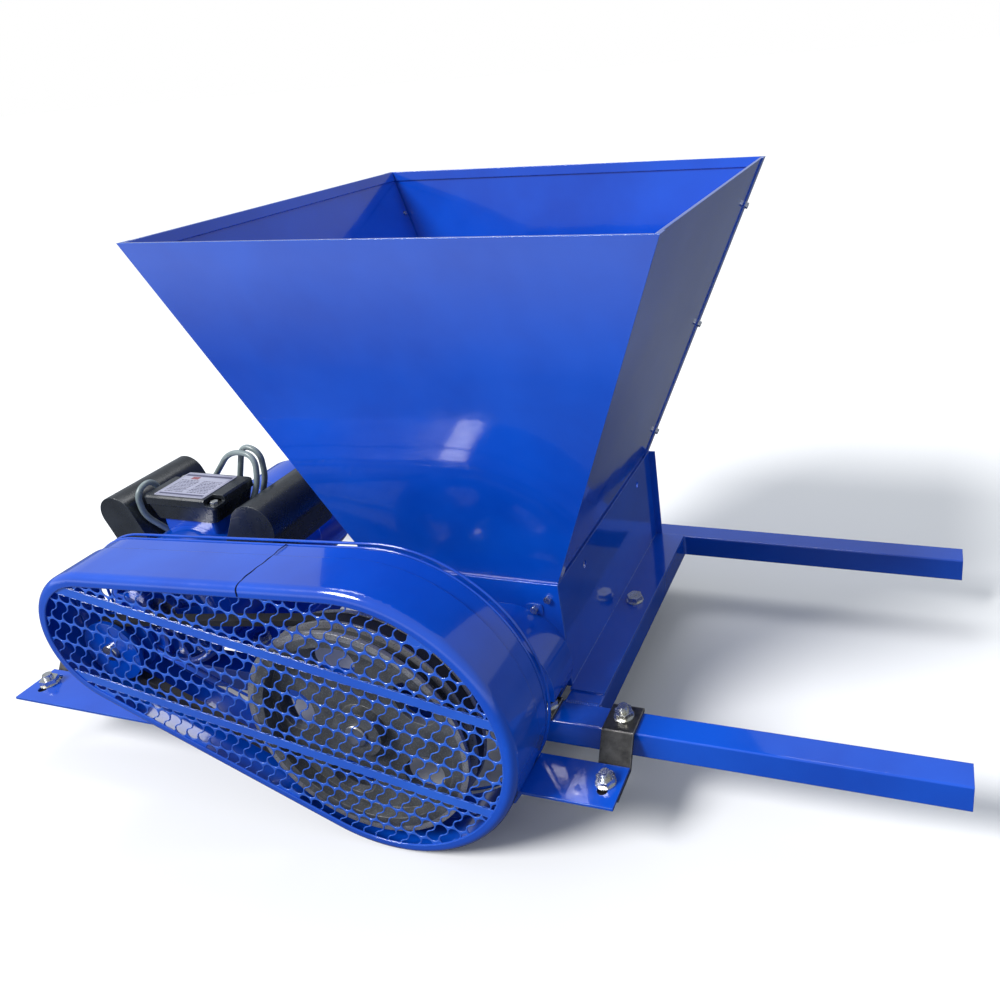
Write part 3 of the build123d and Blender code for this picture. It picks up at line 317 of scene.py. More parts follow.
@dataclass(frozen=True)
class Enamel:
    """Thick glossy sprayed enamel over sheet steel, with orange peel and paler edges: thinner paint there
    and a painted edge highlight.
    """

    name: str = "blue_enamel"
    deep: Colour = (0.0010, 0.058, 0.47)
    bright: Colour = (0.0020, 0.086, 0.61)
    # edge colour: thinner paint and a painted edge highlight
    thin_paint_and_highlight: Colour = (0.10, 0.27, 0.80)
    edge_radius: float = 1.1 * MM
    sag: float = 0.35

    def build(self) -> bpy.types.Material:
        """Builds the material."""
        g = Graph(self.name)
        soft = g.rounded(self.edge_radius)
        edge = g.edges(soft)
        cloud = g.noise(6.0, 4.0, 0.55)
        tone = g.mix(g.span(cloud, 0.35, 0.68), self.deep, self.bright)
        # paler blue along the edges where the noise allows: thinner paint there and a painted highlight on
        # the rounded edges
        edge_paint_and_highlight_share = g.times(edge, g.span(g.noise(90.0, 4.0, 0.6), 0.38, 0.62, 0.15, 0.85))
        tone = g.mix(edge_paint_and_highlight_share, tone, self.thin_paint_and_highlight)
        dust = g.span(g.noise(420.0, 6.0, 0.75), 0.68, 0.80, 0.0, 0.18)
        tone = g.mix(dust, tone, (0.20, 0.30, 0.55))
        smear = g.span(g.noise(22.0, 5.0, 0.65), 0.35, 0.75, 0.10, 0.24)
        peel = g.bump(g.noise(330.0, 2.0, 0.5), 0.16, 0.12 * MM, soft)
        wave = g.bump(g.noise(9.0, 1.0, 0.4), self.sag, 2.2 * MM, peel)
        return g.finish(Base_Color=tone, Roughness=smear, Normal=wave, Coat_Weight=0.75,
                        Coat_Roughness=0.03, Coat_Normal=wave)


@dataclass(frozen=True)
class ZincPlate:
    """Bright zinc plating with a slightly yellow and blue passivation bloom."""

    name: str = "zinc_plate"

    def build(self) -> bpy.types.Material:
        """Builds the material."""
        g = Graph(self.name)
        soft = g.rounded(0.5 * MM)
        bloom = g.span(g.noise(140.0, 3.0, 0.6), 0.35, 0.65)
        tone = g.mix(bloom, (0.62, 0.60, 0.52), (0.66, 0.69, 0.74))
        stain = g.span(g.noise(420.0, 5.0, 0.7), 0.58, 0.72, 0.0, 0.65)
        tone = g.mix(stain, tone, (0.20, 0.19, 0.17))
        rough = g.span(g.noise(700.0, 3.0, 0.6), 0.3, 0.7, 0.16, 0.38)
        normal = g.bump(g.noise(1500.0, 3.0, 0.6), 0.25, 0.08 * MM, soft)
        return g.finish(Base_Color=tone, Metallic=1.0, Roughness=rough, Normal=normal)


@dataclass(frozen=True)
class TurnedSteel:
    """Bright steel with fine turning marks around an axis along Y."""

    name: str = "turned_steel"

    def build(self) -> bpy.types.Material:
        """Builds the material."""
        g = Graph(self.name)
        rings = g.noise(60.0, 2.0, 0.6, g.stretched((0.5, 60.0, 0.5)))
        tone = g.mix(g.span(g.noise(45.0, 4.0, 0.6), 0.4, 0.7), (0.52, 0.52, 0.53), (0.36, 0.35, 0.34))
        normal = g.bump(rings, 0.3, 0.1 * MM, g.rounded(0.5 * MM))
        return g.finish(Base_Color=tone, Metallic=1.0, Roughness=g.span(rings, 0.3, 0.7, 0.18, 0.36),
                        Normal=normal)


@dataclass(frozen=True)
class MillSteel:
    """Bare hot-rolled flat bar: dark scale, rubbed brighter along its bends and edges."""

    name: str = "mill_steel"

    def build(self) -> bpy.types.Material:
        """Builds the material."""
        g = Graph(self.name)
        soft = g.rounded(2.2 * MM)
        scale = g.span(g.noise(75.0, 6.0, 0.65), 0.35, 0.68)
        tone = g.mix(scale, (0.060, 0.058, 0.056), (0.135, 0.130, 0.125))
        rubbed = g.times(g.edges(soft), g.span(g.noise(160.0, 5.0, 0.6), 0.3, 0.6, 0.25, 1.0))
        tone = g.mix(rubbed, tone, (0.42, 0.40, 0.38))
        pits = g.span(g.noise(900.0, 5.0, 0.7), 0.6, 0.75, 0.0, 0.5)
        tone = g.mix(pits, tone, (0.03, 0.022, 0.018))
        rough = g.span(g.noise(240.0, 4.0, 0.6), 0.3, 0.7, 0.27, 0.48)
        normal = g.bump(g.noise(520.0, 6.0, 0.7), 0.35, 0.2 * MM, soft)
        return g.finish(Base_Color=tone, Metallic=0.85, Roughness=rough, Normal=normal)


@dataclass(frozen=True)
class GreyIron:
    """Grey sand casting: a grainy dark skin, machined bright beyond a radius from its axis."""

    name: str = "grey_iron"
    axis: tuple[float, float] | None = None
    turned_from: float = 1.0

    def build(self) -> bpy.types.Material:
        """Builds the material."""
        g = Graph(self.name)
        soft = g.rounded(0.9 * MM)
        grain = g.noise(520.0, 8.0, 0.75)
        blotch = g.span(g.noise(38.0, 5.0, 0.6), 0.35, 0.68)
        tone = g.mix(blotch, (0.085, 0.090, 0.095), (0.165, 0.172, 0.180))
        tone = g.mix(g.span(grain, 0.52, 0.66, 0.0, 0.75), tone, (0.30, 0.31, 0.32))
        tone = g.mix(g.span(g.cells(520.0), 0.14, 0.0, 0.0, 0.7), tone, (0.022, 0.022, 0.024))
        rubbed = g.times(g.edges(soft), g.span(g.noise(120.0, 4.0, 0.6), 0.4, 0.6, 0.2, 1.0))
        tone = g.mix(rubbed, tone, (0.42, 0.42, 0.43))
        rough = g.span(grain, 0.3, 0.7, 0.62, 0.42)
        if self.axis is not None:
            reach = self.reach(g)
            rings = g.noise(30.0, 2.0, 0.6, g.stretched((1.0, 90.0, 1.0)))
            tone = g.mix(reach, tone, g.mix(rings, (0.26, 0.26, 0.27), (0.46, 0.46, 0.47)))
            rough = g.combine("SUBTRACT", rough, g.times(reach, 0.22))
        normal = g.bump(grain, 0.55, 0.45 * MM, soft)
        return g.finish(Base_Color=tone, Metallic=0.55, Roughness=rough, Normal=normal)

    def reach(self, g: Graph) -> bpy.types.NodeSocket:
        """1 beyond the turned radius: the length of the place's X and Z from the axis."""
        moved = g.add("ShaderNodeMapping", Vector=g.place,
                      Location=(-self.axis[0], 0.0, -self.axis[1]), Scale=(1.0, 0.0, 1.0))
        length = g.tree.nodes.new("ShaderNodeVectorMath")
        length.operation = "LENGTH"
        g.put(length.inputs[0], moved.outputs["Vector"])
        return g.span(length.outputs["Value"], self.turned_from - 0.3 * MM, self.turned_from + 0.3 * MM)


@dataclass(frozen=True)
class CastAlloy:
    """Light cast alloy with a soft satin skin."""

    name: str = "cast_alloy"

    def build(self) -> bpy.types.Material:
        """Builds the material."""
        g = Graph(self.name)
        grain = g.noise(620.0, 5.0, 0.7)
        tone = g.mix(g.span(g.noise(40.0, 4.0, 0.6), 0.35, 0.65), (0.44, 0.45, 0.46), (0.60, 0.61, 0.62))
        tone = g.mix(g.span(grain, 0.6, 0.75, 0.0, 0.5), tone, (0.24, 0.24, 0.25))
        normal = g.bump(grain, 0.4, 0.25 * MM, g.rounded(0.8 * MM))
        return g.finish(Base_Color=tone, Metallic=0.95, Roughness=g.span(grain, 0.3, 0.7, 0.30, 0.52),
                        Normal=normal)


@dataclass(frozen=True)
class Laminations:
    """A pack of thin steel sheets stacked along Y, with copper-brown varnish between them."""

    name: str = "laminations"

    def build(self) -> bpy.types.Material:
        """Builds the material."""
        g = Graph(self.name)
        sheets = g.noise(25.0, 1.0, 0.5, g.stretched((0.2, 70.0, 0.2)))
        tone = g.mix(g.span(sheets, 0.4, 0.6), (0.13, 0.12, 0.12), (0.34, 0.33, 0.33))
        tone = g.mix(g.span(g.noise(60.0, 4.0, 0.6), 0.55, 0.75, 0.0, 0.6), tone, (0.20, 0.09, 0.04))
        return g.finish(Base_Color=tone, Metallic=0.8, Roughness=0.42,
                        Normal=g.bump(sheets, 0.6, 0.2 * MM))


@dataclass(frozen=True)
class SatinPlastic:
    """Moulded black plastic with a fine spark-eroded grain and paler edges: rubbed wear and a painted edge
    highlight.
    """

    name: str = "satin_plastic"

    def build(self) -> bpy.types.Material:
        """Builds the material."""
        g = Graph(self.name)
        soft = g.rounded(1.2 * MM)
        cloud = g.span(g.noise(30.0, 4.0, 0.6), 0.35, 0.65)
        tone = g.mix(cloud, (0.010, 0.012, 0.015), (0.019, 0.023, 0.029))
        # pale grey along every edge: rubbed wear and a painted edge highlight
        tone = g.mix(g.times(g.edges(soft), 0.55), tone, (0.13, 0.15, 0.17))
        tone = g.mix(g.span(g.noise(700.0, 6.0, 0.8), 0.66, 0.76, 0.0, 0.3), tone, (0.10, 0.11, 0.12))
        rough = g.span(g.noise(55.0, 5.0, 0.65), 0.3, 0.7, 0.20, 0.36)
        normal = g.bump(g.noise(2400.0, 2.0, 0.5), 0.14, 0.06 * MM, soft)
        return g.finish(Base_Color=tone, Roughness=rough, Normal=normal, Specular_IOR_Level=0.6)


@dataclass(frozen=True)
class BeltRubber:
    """Wrapped V-belt: black rubberised cloth with a fine cross weave and a dusting of wear."""

    name: str = "belt_rubber"

    def build(self) -> bpy.types.Material:
        """Builds the material."""
        g = Graph(self.name)
        weave = g.combine("MULTIPLY", self.threads(g, 1.0), self.threads(g, -1.0))
        dust = g.span(g.noise(60.0, 6.0, 0.7), 0.45, 0.75, 0.0, 0.55)
        tone = g.mix(dust, (0.012, 0.012, 0.013), (0.060, 0.058, 0.056))
        tone = g.mix(g.span(weave, 0.0, 0.6, 0.0, 0.4), tone, (0.035, 0.035, 0.037))
        normal = g.bump(weave, 0.5, 0.25 * MM, g.rounded(0.6 * MM))
        return g.finish(Base_Color=tone, Roughness=g.span(dust, 0.0, 0.5, 0.55, 0.8), Normal=normal)

    @staticmethod
    def threads(g: Graph, lean: float) -> bpy.types.NodeSocket:
        """Bands of thread that lean one way across the belt."""
        turned = g.add("ShaderNodeMapping", Vector=g.place, Rotation=(0.0, 0.0, lean * math.radians(45)))
        node = g.add("ShaderNodeTexWave", Vector=turned.outputs["Vector"], Scale=190.0)
        return node.outputs["Fac"]


@dataclass(frozen=True)
class LeadSheath:
    """Grey-green soft plastic sheath of the capacitor leads."""

    name: str = "lead_sheath"

    def build(self) -> bpy.types.Material:
        """Builds the material."""
        g = Graph(self.name)
        tone = g.mix(g.span(g.noise(45.0, 5.0, 0.6), 0.35, 0.68), (0.16, 0.20, 0.20), (0.25, 0.30, 0.30))
        tone = g.mix(g.span(g.noise(480.0, 5.0, 0.7), 0.6, 0.75, 0.0, 0.5), tone, (0.09, 0.11, 0.11))
        return g.finish(Base_Color=tone, Roughness=g.span(g.noise(90.0), 0.3, 0.7, 0.28, 0.44),
                        Normal=g.bump(g.noise(900.0, 3.0), 0.2, 0.1 * MM), Specular_IOR_Level=0.6)


@dataclass(frozen=True)
class BrushedPlate:
    """Thin anodised plate, brushed along X, with a faint lilac cast."""

    name: str = "brushed_plate"

    def build(self) -> bpy.types.Material:
        """Builds the material."""
        g = Graph(self.name)
        brush = g.noise(300.0, 3.0, 0.6, g.stretched((0.06, 8.0, 1.0)))
        tone = g.mix(g.span(brush, 0.35, 0.65), (0.46, 0.46, 0.60), (0.62, 0.62, 0.74))
        tone = g.mix(g.span(g.noise(120.0, 5.0, 0.7), 0.6, 0.8, 0.0, 0.4), tone, (0.30, 0.30, 0.36))
        return g.finish(Base_Color=tone, Metallic=0.55, Roughness=g.span(brush, 0.3, 0.7, 0.26, 0.42),
                        Normal=g.bump(brush, 0.2, 0.05 * MM))


@dataclass(frozen=True)
class PrintInk:
    """Thin screen-printed ink, a little worn."""

    name: str = "print_ink"
    colour: Colour = (0.045, 0.045, 0.10)
    faded: Colour = (0.20, 0.20, 0.28)

    def build(self) -> bpy.types.Material:
        """Builds the material."""
        g = Graph(self.name)
        tone = g.mix(g.span(g.noise(900.0, 4.0, 0.7), 0.45, 0.7), self.colour, self.faded)
        return g.finish(Base_Color=tone, Roughness=g.span(g.noise(300.0), 0.3, 0.7, 0.35, 0.55),
                        Normal=g.bump(g.noise(1600.0), 0.1, 0.02 * MM))


@dataclass(frozen=True)
class DarkGap:
    """The unlit inside of a narrow gap, with a trace of paint along it."""

    name: str = "dark_gap"

    def build(self) -> bpy.types.Material:
        """Builds the material."""
        g = Graph(self.name)
        speck = g.span(g.noise(400.0, 4.0, 0.6), 0.5, 0.75)
        tone = g.mix(speck, (0.0015, 0.002, 0.006), (0.002, 0.012, 0.07))
        return g.finish(Base_Color=tone, Roughness=g.span(g.noise(200.0), 0.3, 0.7, 0.6, 0.9),
                        Normal=g.bump(g.noise(700.0), 0.2, 0.1 * MM), Specular_IOR_Level=0.1)


PULLEY_AXIS = (-52.0 * MM, 66.0 * MM)


@dataclass
class Wardrobe:
    """Every finish of the object, by material slot, and the few nodes with their own."""

    by_slot: dict[str, bpy.types.Material] = field(default_factory=dict)
    by_node: dict[str, bpy.types.Material] = field(default_factory=dict)

    def sew(self) -> None:
        """Builds the materials."""
        finishes = {
            "blue_paint": Enamel(), "zinc_steel": ZincPlate(), "shaft_steel": TurnedSteel(),
            "bare_steel": MillSteel(), "cast_iron": GreyIron(), "roller_alloy": CastAlloy(),
            "laminations": Laminations(), "black_plastic": SatinPlastic(), "belt_rubber": BeltRubber(),
            "lead_sheath": LeadSheath(), "plate_alloy": BrushedPlate(),
        }
        self.by_slot = {slot: finish.build() for slot, finish in finishes.items()}
        self.by_node["large_pulley"] = GreyIron("pulley_iron", PULLEY_AXIS, 115.5 * MM).build()

    def dress(self, nodes: dict[str, bpy.types.Object]) -> None:
        """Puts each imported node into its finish."""
        for name, node in nodes.items():
            for place in node.material_slots:
                slot = place.material.name.split(".")[0]
                place.material = self.by_node.get(name, self.by_slot[slot])


# ------------------------------------------------------------------ belt guard


@dataclass
class GuardOutline:
    """The guard's outline in the X-Z plane: two circles joined by their outer tangents."""

    big: np.ndarray
    big_radius: float
    small: np.ndarray
    small_radius: float

    @property
    def along(self) -> np.ndarray:
        """Unit direction from the small circle's centre to the big one's."""
        ahead = self.big - self.small
        return ahead / np.linalg.norm(ahead)

    @property
    def lean(self) -> float:
        """Half the angle between the two outer tangents, in radians."""
        return math.asin((self.big_radius - self.small_radius) / np.linalg.norm(self.big - self.small))

    def ring(self, inset: float, arc_points: int, line_points: int) -> np.ndarray:
        """Points round the outline, moved inwards.

        The big circle runs from the lower tangent round the right to the upper one, then
        the small circle back: point = centre + radius * (cos(t), sin(t)).

        Args:
            inset: distance from the outline, inwards.
            arc_points: points on each arc.
            line_points: points between the arcs on each tangent.

        Returns:
            X and Z of each point, anticlockwise as seen from the front.
        """
        tilt = math.atan2(self.along[1], self.along[0])
        half_big = math.pi / 2 + self.lean
        half_small = math.pi / 2 - self.lean
        wide = tilt + np.linspace(-half_big, half_big, arc_points)
        narrow = tilt + math.pi + np.linspace(-half_small, half_small, arc_points)
        right = self.big + (self.big_radius - inset) * np.stack([np.cos(wide), np.sin(wide)], 1)
        left = self.small + (self.small_radius - inset) * np.stack([np.cos(narrow), np.sin(narrow)], 1)
        upper = line(right[-1], left[0], line_points + 2)[1:-1]
        lower = line(left[-1], right[0], line_points + 2)[1:-1]
        return np.concatenate([right, upper, left, lower])

    def depth(self, points: np.ndarray, inset: float) -> np.ndarray:
        """Signed distance outside the inset outline: the least over circles that slide between the ends.

        In the frame of the centre line, a circle at s along it has radius small + s * slope.
        The nearest circle to a point at (x, y) has s = x + y * tan(lean), held to the line.
        """
        span = np.linalg.norm(self.big - self.small)
        rel = points - self.small
        x = rel @ self.along
        y = np.abs(rel @ np.array([-self.along[1], self.along[0]]))
        slope = (self.big_radius - self.small_radius) / span
        s = np.clip(x + y * math.tan(self.lean), 0, span)
        return np.hypot(x - s, y) - (self.small_radius - inset + s * slope)

    def held_inside(self, points: np.ndarray, inset: float) -> np.ndarray:
        """Points beyond the inset outline moved back to it, square to it."""
        step = 0.01 * MM
        here = self.depth(points, inset)
        slope = np.stack([self.depth(points + np.array(d) * step, inset) - here
                          for d in ((1.0, 0.0), (0.0, 1.0))], 1) / step
        return points - np.maximum(here, 0)[:, None] * slope


@dataclass
class BeltGuard:
    """The screen, rolled edges and butt seam of the pressed belt guard."""

    pitch: float = 14.06 * MM            # from opening to opening along a row
    lobe_radius: float = 6.35 * MM
    upper_lobe: tuple[float, float] = (13.1 * MM, 7.1 * MM)
    lower_lobe: tuple[float, float] = (3.5 * MM, -7.2 * MM)
    row_step: tuple[float, float] = (-1.7 * MM, -27.1 * MM)
    rib_offset: float = 56.0 * MM
    rib_width: float = 11.0 * MM
    screen_inset: float = 9.0 * MM
    lip: float = 12.3 * MM
    corner: float = 8.0 * MM
    sheet: float = 1.5 * MM
    seam_x: float = -132.0 * MM
    seam_half: float = 0.8 * MM
    chamfer: float = 0.3 * MM
    arc_points: int = 9

    def __post_init__(self) -> None:
        """Reads the guard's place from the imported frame."""
        low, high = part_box("guard_rim")
        self.front, self.back = low.y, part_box("guard_shell")[1].y
        big_radius = 157.3 * MM
        small_radius = 84.0 * MM
        self.outline = GuardOutline(
            np.array([high.x - big_radius, low.z + big_radius]), big_radius,
            np.array([low.x + small_radius, 141.0 * MM]), small_radius)
        along = self.outline.along
        self.axes = np.array([along, [-along[1], along[0]]])
        self.middle = (self.outline.big + self.outline.small) / 2

    def opening(self) -> np.ndarray:
        """Outline of one opening: an upper and a lower lobe joined by a slanting neck.

        Each lobe is a circle of the lobe radius. The neck's sides are arcs of the same
        circles of the openings beside it, one web further out, so every web between two
        openings is an S of even width. Arcs are centre + radius * (cos(t), sin(t)).

        Returns:
            Points along the row and across it, clockwise.
        """
        step = np.array([self.pitch, 0.0])
        upper, lower = np.array(self.upper_lobe), np.array(self.lower_lobe)
        reach = self.pitch - self.lobe_radius
        fall = lower + step - upper
        turn = math.atan2(fall[1], fall[0])

        def arc(centre: np.ndarray, radius: float, start: float, end: float, count: int) -> np.ndarray:
            """Points of one arc without its last one."""
            t = np.linspace(start, end, count, endpoint=False)
            return centre + radius * np.stack([np.cos(t), np.sin(t)], 1)

        n = self.arc_points
        return np.concatenate([
            arc(upper, self.lobe_radius, math.pi, turn, n + 2),
            arc(lower + step, reach, turn + math.pi, math.pi, n // 2),
            arc(lower, self.lobe_radius, 0.0, turn - math.pi, n + 2),
            arc(upper - step, reach, turn, 0.0, n // 2),
        ])

    def screen(self, paint: bpy.types.Material) -> None:
        """The punched screen: S-shaped webs with chamfered edges and two plain ribs.

        The openings' outlines repeat on a lattice, are held inside the guard's outline and
        off the ribs, and a constrained triangulation fills what is between them. The sheet
        is that surface at the front and at the back, joined by a wall round each hole.
        """
        low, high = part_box("guard_mesh")
        unit = self.opening()
        span = 1.35 * np.linalg.norm(self.outline.big - self.outline.small)
        columns = np.arange(-int(span / self.pitch), int(span / self.pitch) + 1)
        rows = np.arange(-7, 8)
        upper_edge = self.rib_offset + self.rib_width / 2
        lower_edge = self.rib_offset - self.rib_width / 2
        bands = ((upper_edge, 1.0), (-lower_edge, lower_edge), (-1.0, -upper_edge))
        loops: list[np.ndarray] = []
        for floor, ceiling in bands:
            for row in rows:
                for column in columns:
                    shift = np.array([column * self.pitch + row * self.row_step[0], row * self.row_step[1]])
                    local = unit + shift
                    if local[:, 1].max() < floor + MM or local[:, 1].min() > ceiling - MM:
                        continue
                    local[:, 1] = np.clip(local[:, 1], floor, ceiling)
                    flat = self.middle + local @ self.axes
                    if self.outline.depth(flat, self.screen_inset).min() > -1.5 * MM:
                        continue
                    loops.append(self.outline.held_inside(flat, self.screen_inset))
        self.fill(loops, low.y, high.y, paint)

    def fill(self, loops: list[np.ndarray], front: float, back: float, paint: bpy.types.Material) -> None:
        """Fills the sheet round the holes and puts it into the scene.

        Args:
            loops: outlines of the holes.
            front: Y of the sheet's front face.
            back: Y of the sheet's back face.
            paint: the screen's finish.
        """
        edge = self.outline.ring(self.screen_inset - 2.2 * MM, 48, 12)
        sized = [self.grown(loop, self.chamfer) for loop in loops]
        border = [edge] + sized
        flat = np.concatenate(border)
        starts = np.cumsum([0] + [len(loop) for loop in border[:-1]])
        rings = [list(range(start, start + len(loop))) for start, loop in zip(starts, border)]
        rings[1:] = [ring[::-1] for ring in rings[1:]]   # the holes run clockwise, the border does not
        found, _, triangles, _, _, sources = delaunay_2d_cdt([Vector(p) for p in flat], [], rings, 1, 1e-7)
        plane = np.array([tuple(p) for p in found])
        count = len(plane)
        front_points = np.stack([plane[:, 0], np.full(count, front), plane[:, 1]], 1)
        back_points = np.stack([plane[:, 0], np.full(count, back), plane[:, 1]], 1)
        # a triangle is sheet where the border, ring 0, is the only ring round it
        corners = np.array([t for t, inside in zip(triangles, sources) if set(inside) == {0}])
        a, b, c = (plane[corners[:, k]] for k in range(3))
        area = (b[:, 0] - a[:, 0]) * (c[:, 1] - a[:, 1]) - (b[:, 1] - a[:, 1]) * (c[:, 0] - a[:, 0])
        corners[area < 0] = corners[area < 0][:, ::-1]
        faces = corners.tolist() + (corners[:, ::-1] + count).tolist()
        points = [front_points, back_points]
        total = 2 * count
        levels = (front, front + self.chamfer, back - self.chamfer, back)
        for loop, wide in zip(loops, sized):
            rings_xz = (wide, loop, loop, wide)
            wall = np.concatenate([np.stack([r[:, 0], np.full(len(r), y), r[:, 1]], 1)
                                   for r, y in zip(rings_xz, levels)])
            faces += grid_faces(4, len(loop), close_columns=True, first=total).tolist()
            points.append(wall)
            total += len(wall)
        piece = add_piece("guard_screen", np.concatenate(points), faces, paint, Body.FRAME,
                          "blue_paint", smooth=False)
        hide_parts("guard_mesh")

    @staticmethod
    def grown(loop: np.ndarray, by: float) -> np.ndarray:
        """The loop with each point moved outwards, square to its two neighbours."""
        ahead = np.roll(loop, -1, axis=0) - np.roll(loop, 1, axis=0)
        out = np.stack([-ahead[:, 1], ahead[:, 0]], 1)
        length = np.maximum(np.linalg.norm(out, axis=1, keepdims=True), 1e-9)
        return loop + by * out / length

    def rolled_edges(self, paint: bpy.types.Material) -> None:
        """The rolled hem inside the lip and the two raised beads near the guard's back edge."""
        hem = 0.9 * MM
        places = (
            (self.lip, self.front + hem, hem),
            (self.sheet + 0.1 * MM, self.back + 1.6 * MM, 1.3 * MM),
            (self.sheet + 0.3 * MM, self.back + 9.5 * MM, 1.5 * MM),
        )
        parts = []
        for inset, y, radius in places:
            ring = self.outline.ring(inset, 72, 14)
            path = np.stack([ring[:, 0], np.full(len(ring), y), ring[:, 1]], 1)
            parts.append(tube(path, radius, 8, closed=True, up=(0.0, 1.0, 0.0)))
        points, faces = merge(parts)
        add_piece("guard_rolled_edges", points, faces, paint, Body.FRAME, "blue_paint")

    def seam(self, dark: bpy.types.Material) -> None:
        """The butt seam over the guard's top: a narrow dark strip that follows the sheet.

        It climbs the lip, turns over the rounded corner by an arc and runs to the back edge,
        just proud of the sheet, and its middle wanders by a sum of sines.
        """
        upper = self.outline.big_radius * np.array([-math.sin(self.tangent_lean()),
                                                    math.cos(self.tangent_lean())]) + self.outline.big
        top = upper[1] + (self.seam_x - upper[0]) * math.tan(self.tangent_lean())
        proud = 0.1 * MM
        turn = np.linspace(0, math.pi / 2, 12)
        centre = np.array([self.front + self.corner, top - self.corner])
        bend = centre + (self.corner + proud) * np.stack([-np.cos(turn), np.sin(turn)], 1)
        climb = line((self.front - proud, top - self.lip + MM), bend[0], 8)[:-1]
        run = line(bend[-1], (self.back + 0.4 * MM, top - self.sheet + 1.5 * MM), 30)[1:]
        path = np.concatenate([climb, bend, run])
        travel = np.concatenate([[0], np.cumsum(np.linalg.norm(np.diff(path, axis=0), axis=1))])
        wander = 0.5 * MM * np.sin(travel * 150.0) + 0.35 * MM * np.sin(travel * 420.0 + 1.0)
        half = self.seam_half * (1 + 0.25 * np.sin(travel * 260.0 + 0.6))
        sides = [self.seam_x + wander + sign * half for sign in (-1.0, 1.0)]
        points = np.stack([np.column_stack([x, path]) for x in sides], 1).reshape(-1, 3)
        add_piece("guard_seam", points, grid_faces(len(path), 2), dark, Body.FRAME, "blue_paint")

    def tangent_lean(self) -> float:
        """Slope of the upper tangent in the X-Z plane, in radians."""
        tilt = math.atan2(self.outline.along[1], self.outline.along[0])
        return tilt + self.outline.lean

    def build(self, paint: bpy.types.Material, screen_paint_painted_sheen: bpy.types.Material,
              dark: bpy.types.Material) -> None:
        """Makes the guard's fine pieces."""
        self.screen(screen_paint_painted_sheen)
        self.rolled_edges(paint)
        self.seam(dark)


# ------------------------------------------------------------------ frame welds


@dataclass
class FrameWelds:
    """Weld beads where the crossbars meet the two rails."""

    radius: float = 2.3 * MM
    ripple_pitch: float = 2.6 * MM

    def bead(self, start: Sequence[float], end: Sequence[float],
             phase: float) -> tuple[np.ndarray, np.ndarray]:
        """One bead along a line: a tube whose radius ripples as radius * (1 + 0.16 * sin(k * s))."""
        length = math.dist(start, end)
        path = line(start, end, max(12, int(length / self.ripple_pitch * 6)))
        s = np.linspace(0, length, len(path))
        ripple = 0.16 * np.sin(s * FULL_TURN / self.ripple_pitch + phase)
        radii = self.radius * (1 + ripple + 0.1 * np.sin(s * 310.0 + 2 * phase))
        up = (0.0, 0.0, 1.0) if abs(end[2] - start[2]) < 1e-6 else (1.0, 0.0, 0.0)
        return tube(path, radii, 8, up=up)

    def build(self, paint: bpy.types.Material) -> None:
        """Makes the beads of all crossbars as one piece."""
        rail_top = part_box("front_rail")[1].z
        front_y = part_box("front_rail")[1].y
        rear_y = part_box("rear_rail")[0].y
        sides: list[float] = []
        for node in ("body_crossbar_left", "body_crossbar_right"):
            low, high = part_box(node)
            sides += [low.x, high.x]
        low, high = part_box("motor_crossbars")
        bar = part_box("body_crossbar_right")[1].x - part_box("body_crossbar_right")[0].x
        sides += [low.x, low.x + bar, high.x - bar, high.x]
        parts = []
        for i, x in enumerate(sides):
            for j, y in enumerate((front_y, rear_y)):
                parts.append(self.bead((x, y, 2 * MM), (x, y, rail_top - MM), i + 2.0 * j))
        for i in range(0, len(sides), 2):
            parts.append(self.bead((sides[i], front_y, rail_top - 0.8 * MM),
                                   (sides[i + 1], front_y, rail_top - 0.8 * MM), i))
        points, faces = merge(parts)
        add_piece("frame_welds", points, faces, paint, Body.FRAME, "blue_paint")


# ------------------------------------------------------------------ stud threads


@dataclass
class StudThreads:
    """The threads on the stud ends that stand out of the nuts."""

    radius: float = 5.0 * MM
    pitch: float = 1.5 * MM
    crest: float = 0.28 * MM
    turn_points: int = 24
    nut: float = 8.0 * MM                # washer and nut under the stud
    stud: float = 6.0 * MM
    strap_half: float = 17.0 * MM
    rail_bolt_y: float = 2.0 * MM
    foot_bolt_y: float = -60.0 * MM

    def helix(self, x: float, y: float, low: float, high: float) -> tuple[np.ndarray, np.ndarray]:
        """A thread's flanks as a grid: radius + crest * triangle wave of (height / pitch - turn)."""
        rows = int((high - low) / self.pitch * 8)
        turn = np.linspace(0, FULL_TURN, self.turn_points, endpoint=False)
        height = np.linspace(low, high, rows)
        wave = (height[:, None] / self.pitch - turn[None, :] / FULL_TURN) % 1.0
        ridge = self.crest * (1 - np.abs(2 * wave - 1))
        fade = np.clip((high - height) / self.pitch, 0.0, 1.0)[:, None]
        radius = self.radius + 0.03 * MM + ridge * fade - 0.3 * MM * (1 - fade)
        grid = np.stack([x + radius * np.cos(turn), y + radius * np.sin(turn),
                         np.broadcast_to(height[:, None], radius.shape)], -1)
        return grid.reshape(-1, 3), grid_faces(rows, self.turn_points, close_columns=True)[:, ::-1]

    def build(self, metal: bpy.types.Material) -> None:
        """Makes the threads of the strap bolts that show above their nuts."""
        strap_low, strap_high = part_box("guard_straps")
        rail_stud_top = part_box("guard_bolts")[1].z
        foot_stud_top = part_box("guard_foot_right")[1].z + self.nut + self.stud
        proud = 0.02 * MM
        parts = []
        for x in (strap_high.x - self.strap_half, strap_low.x + self.strap_half):
            for y, top in ((self.rail_bolt_y, rail_stud_top), (self.foot_bolt_y, foot_stud_top)):
                parts.append(self.helix(x, y, top - self.stud, top + proud))
        points, faces = merge(parts)
        add_piece("stud_threads", points, faces, metal, Body.FRAME, "zinc_steel")


# ------------------------------------------------------------------ nameplate printing


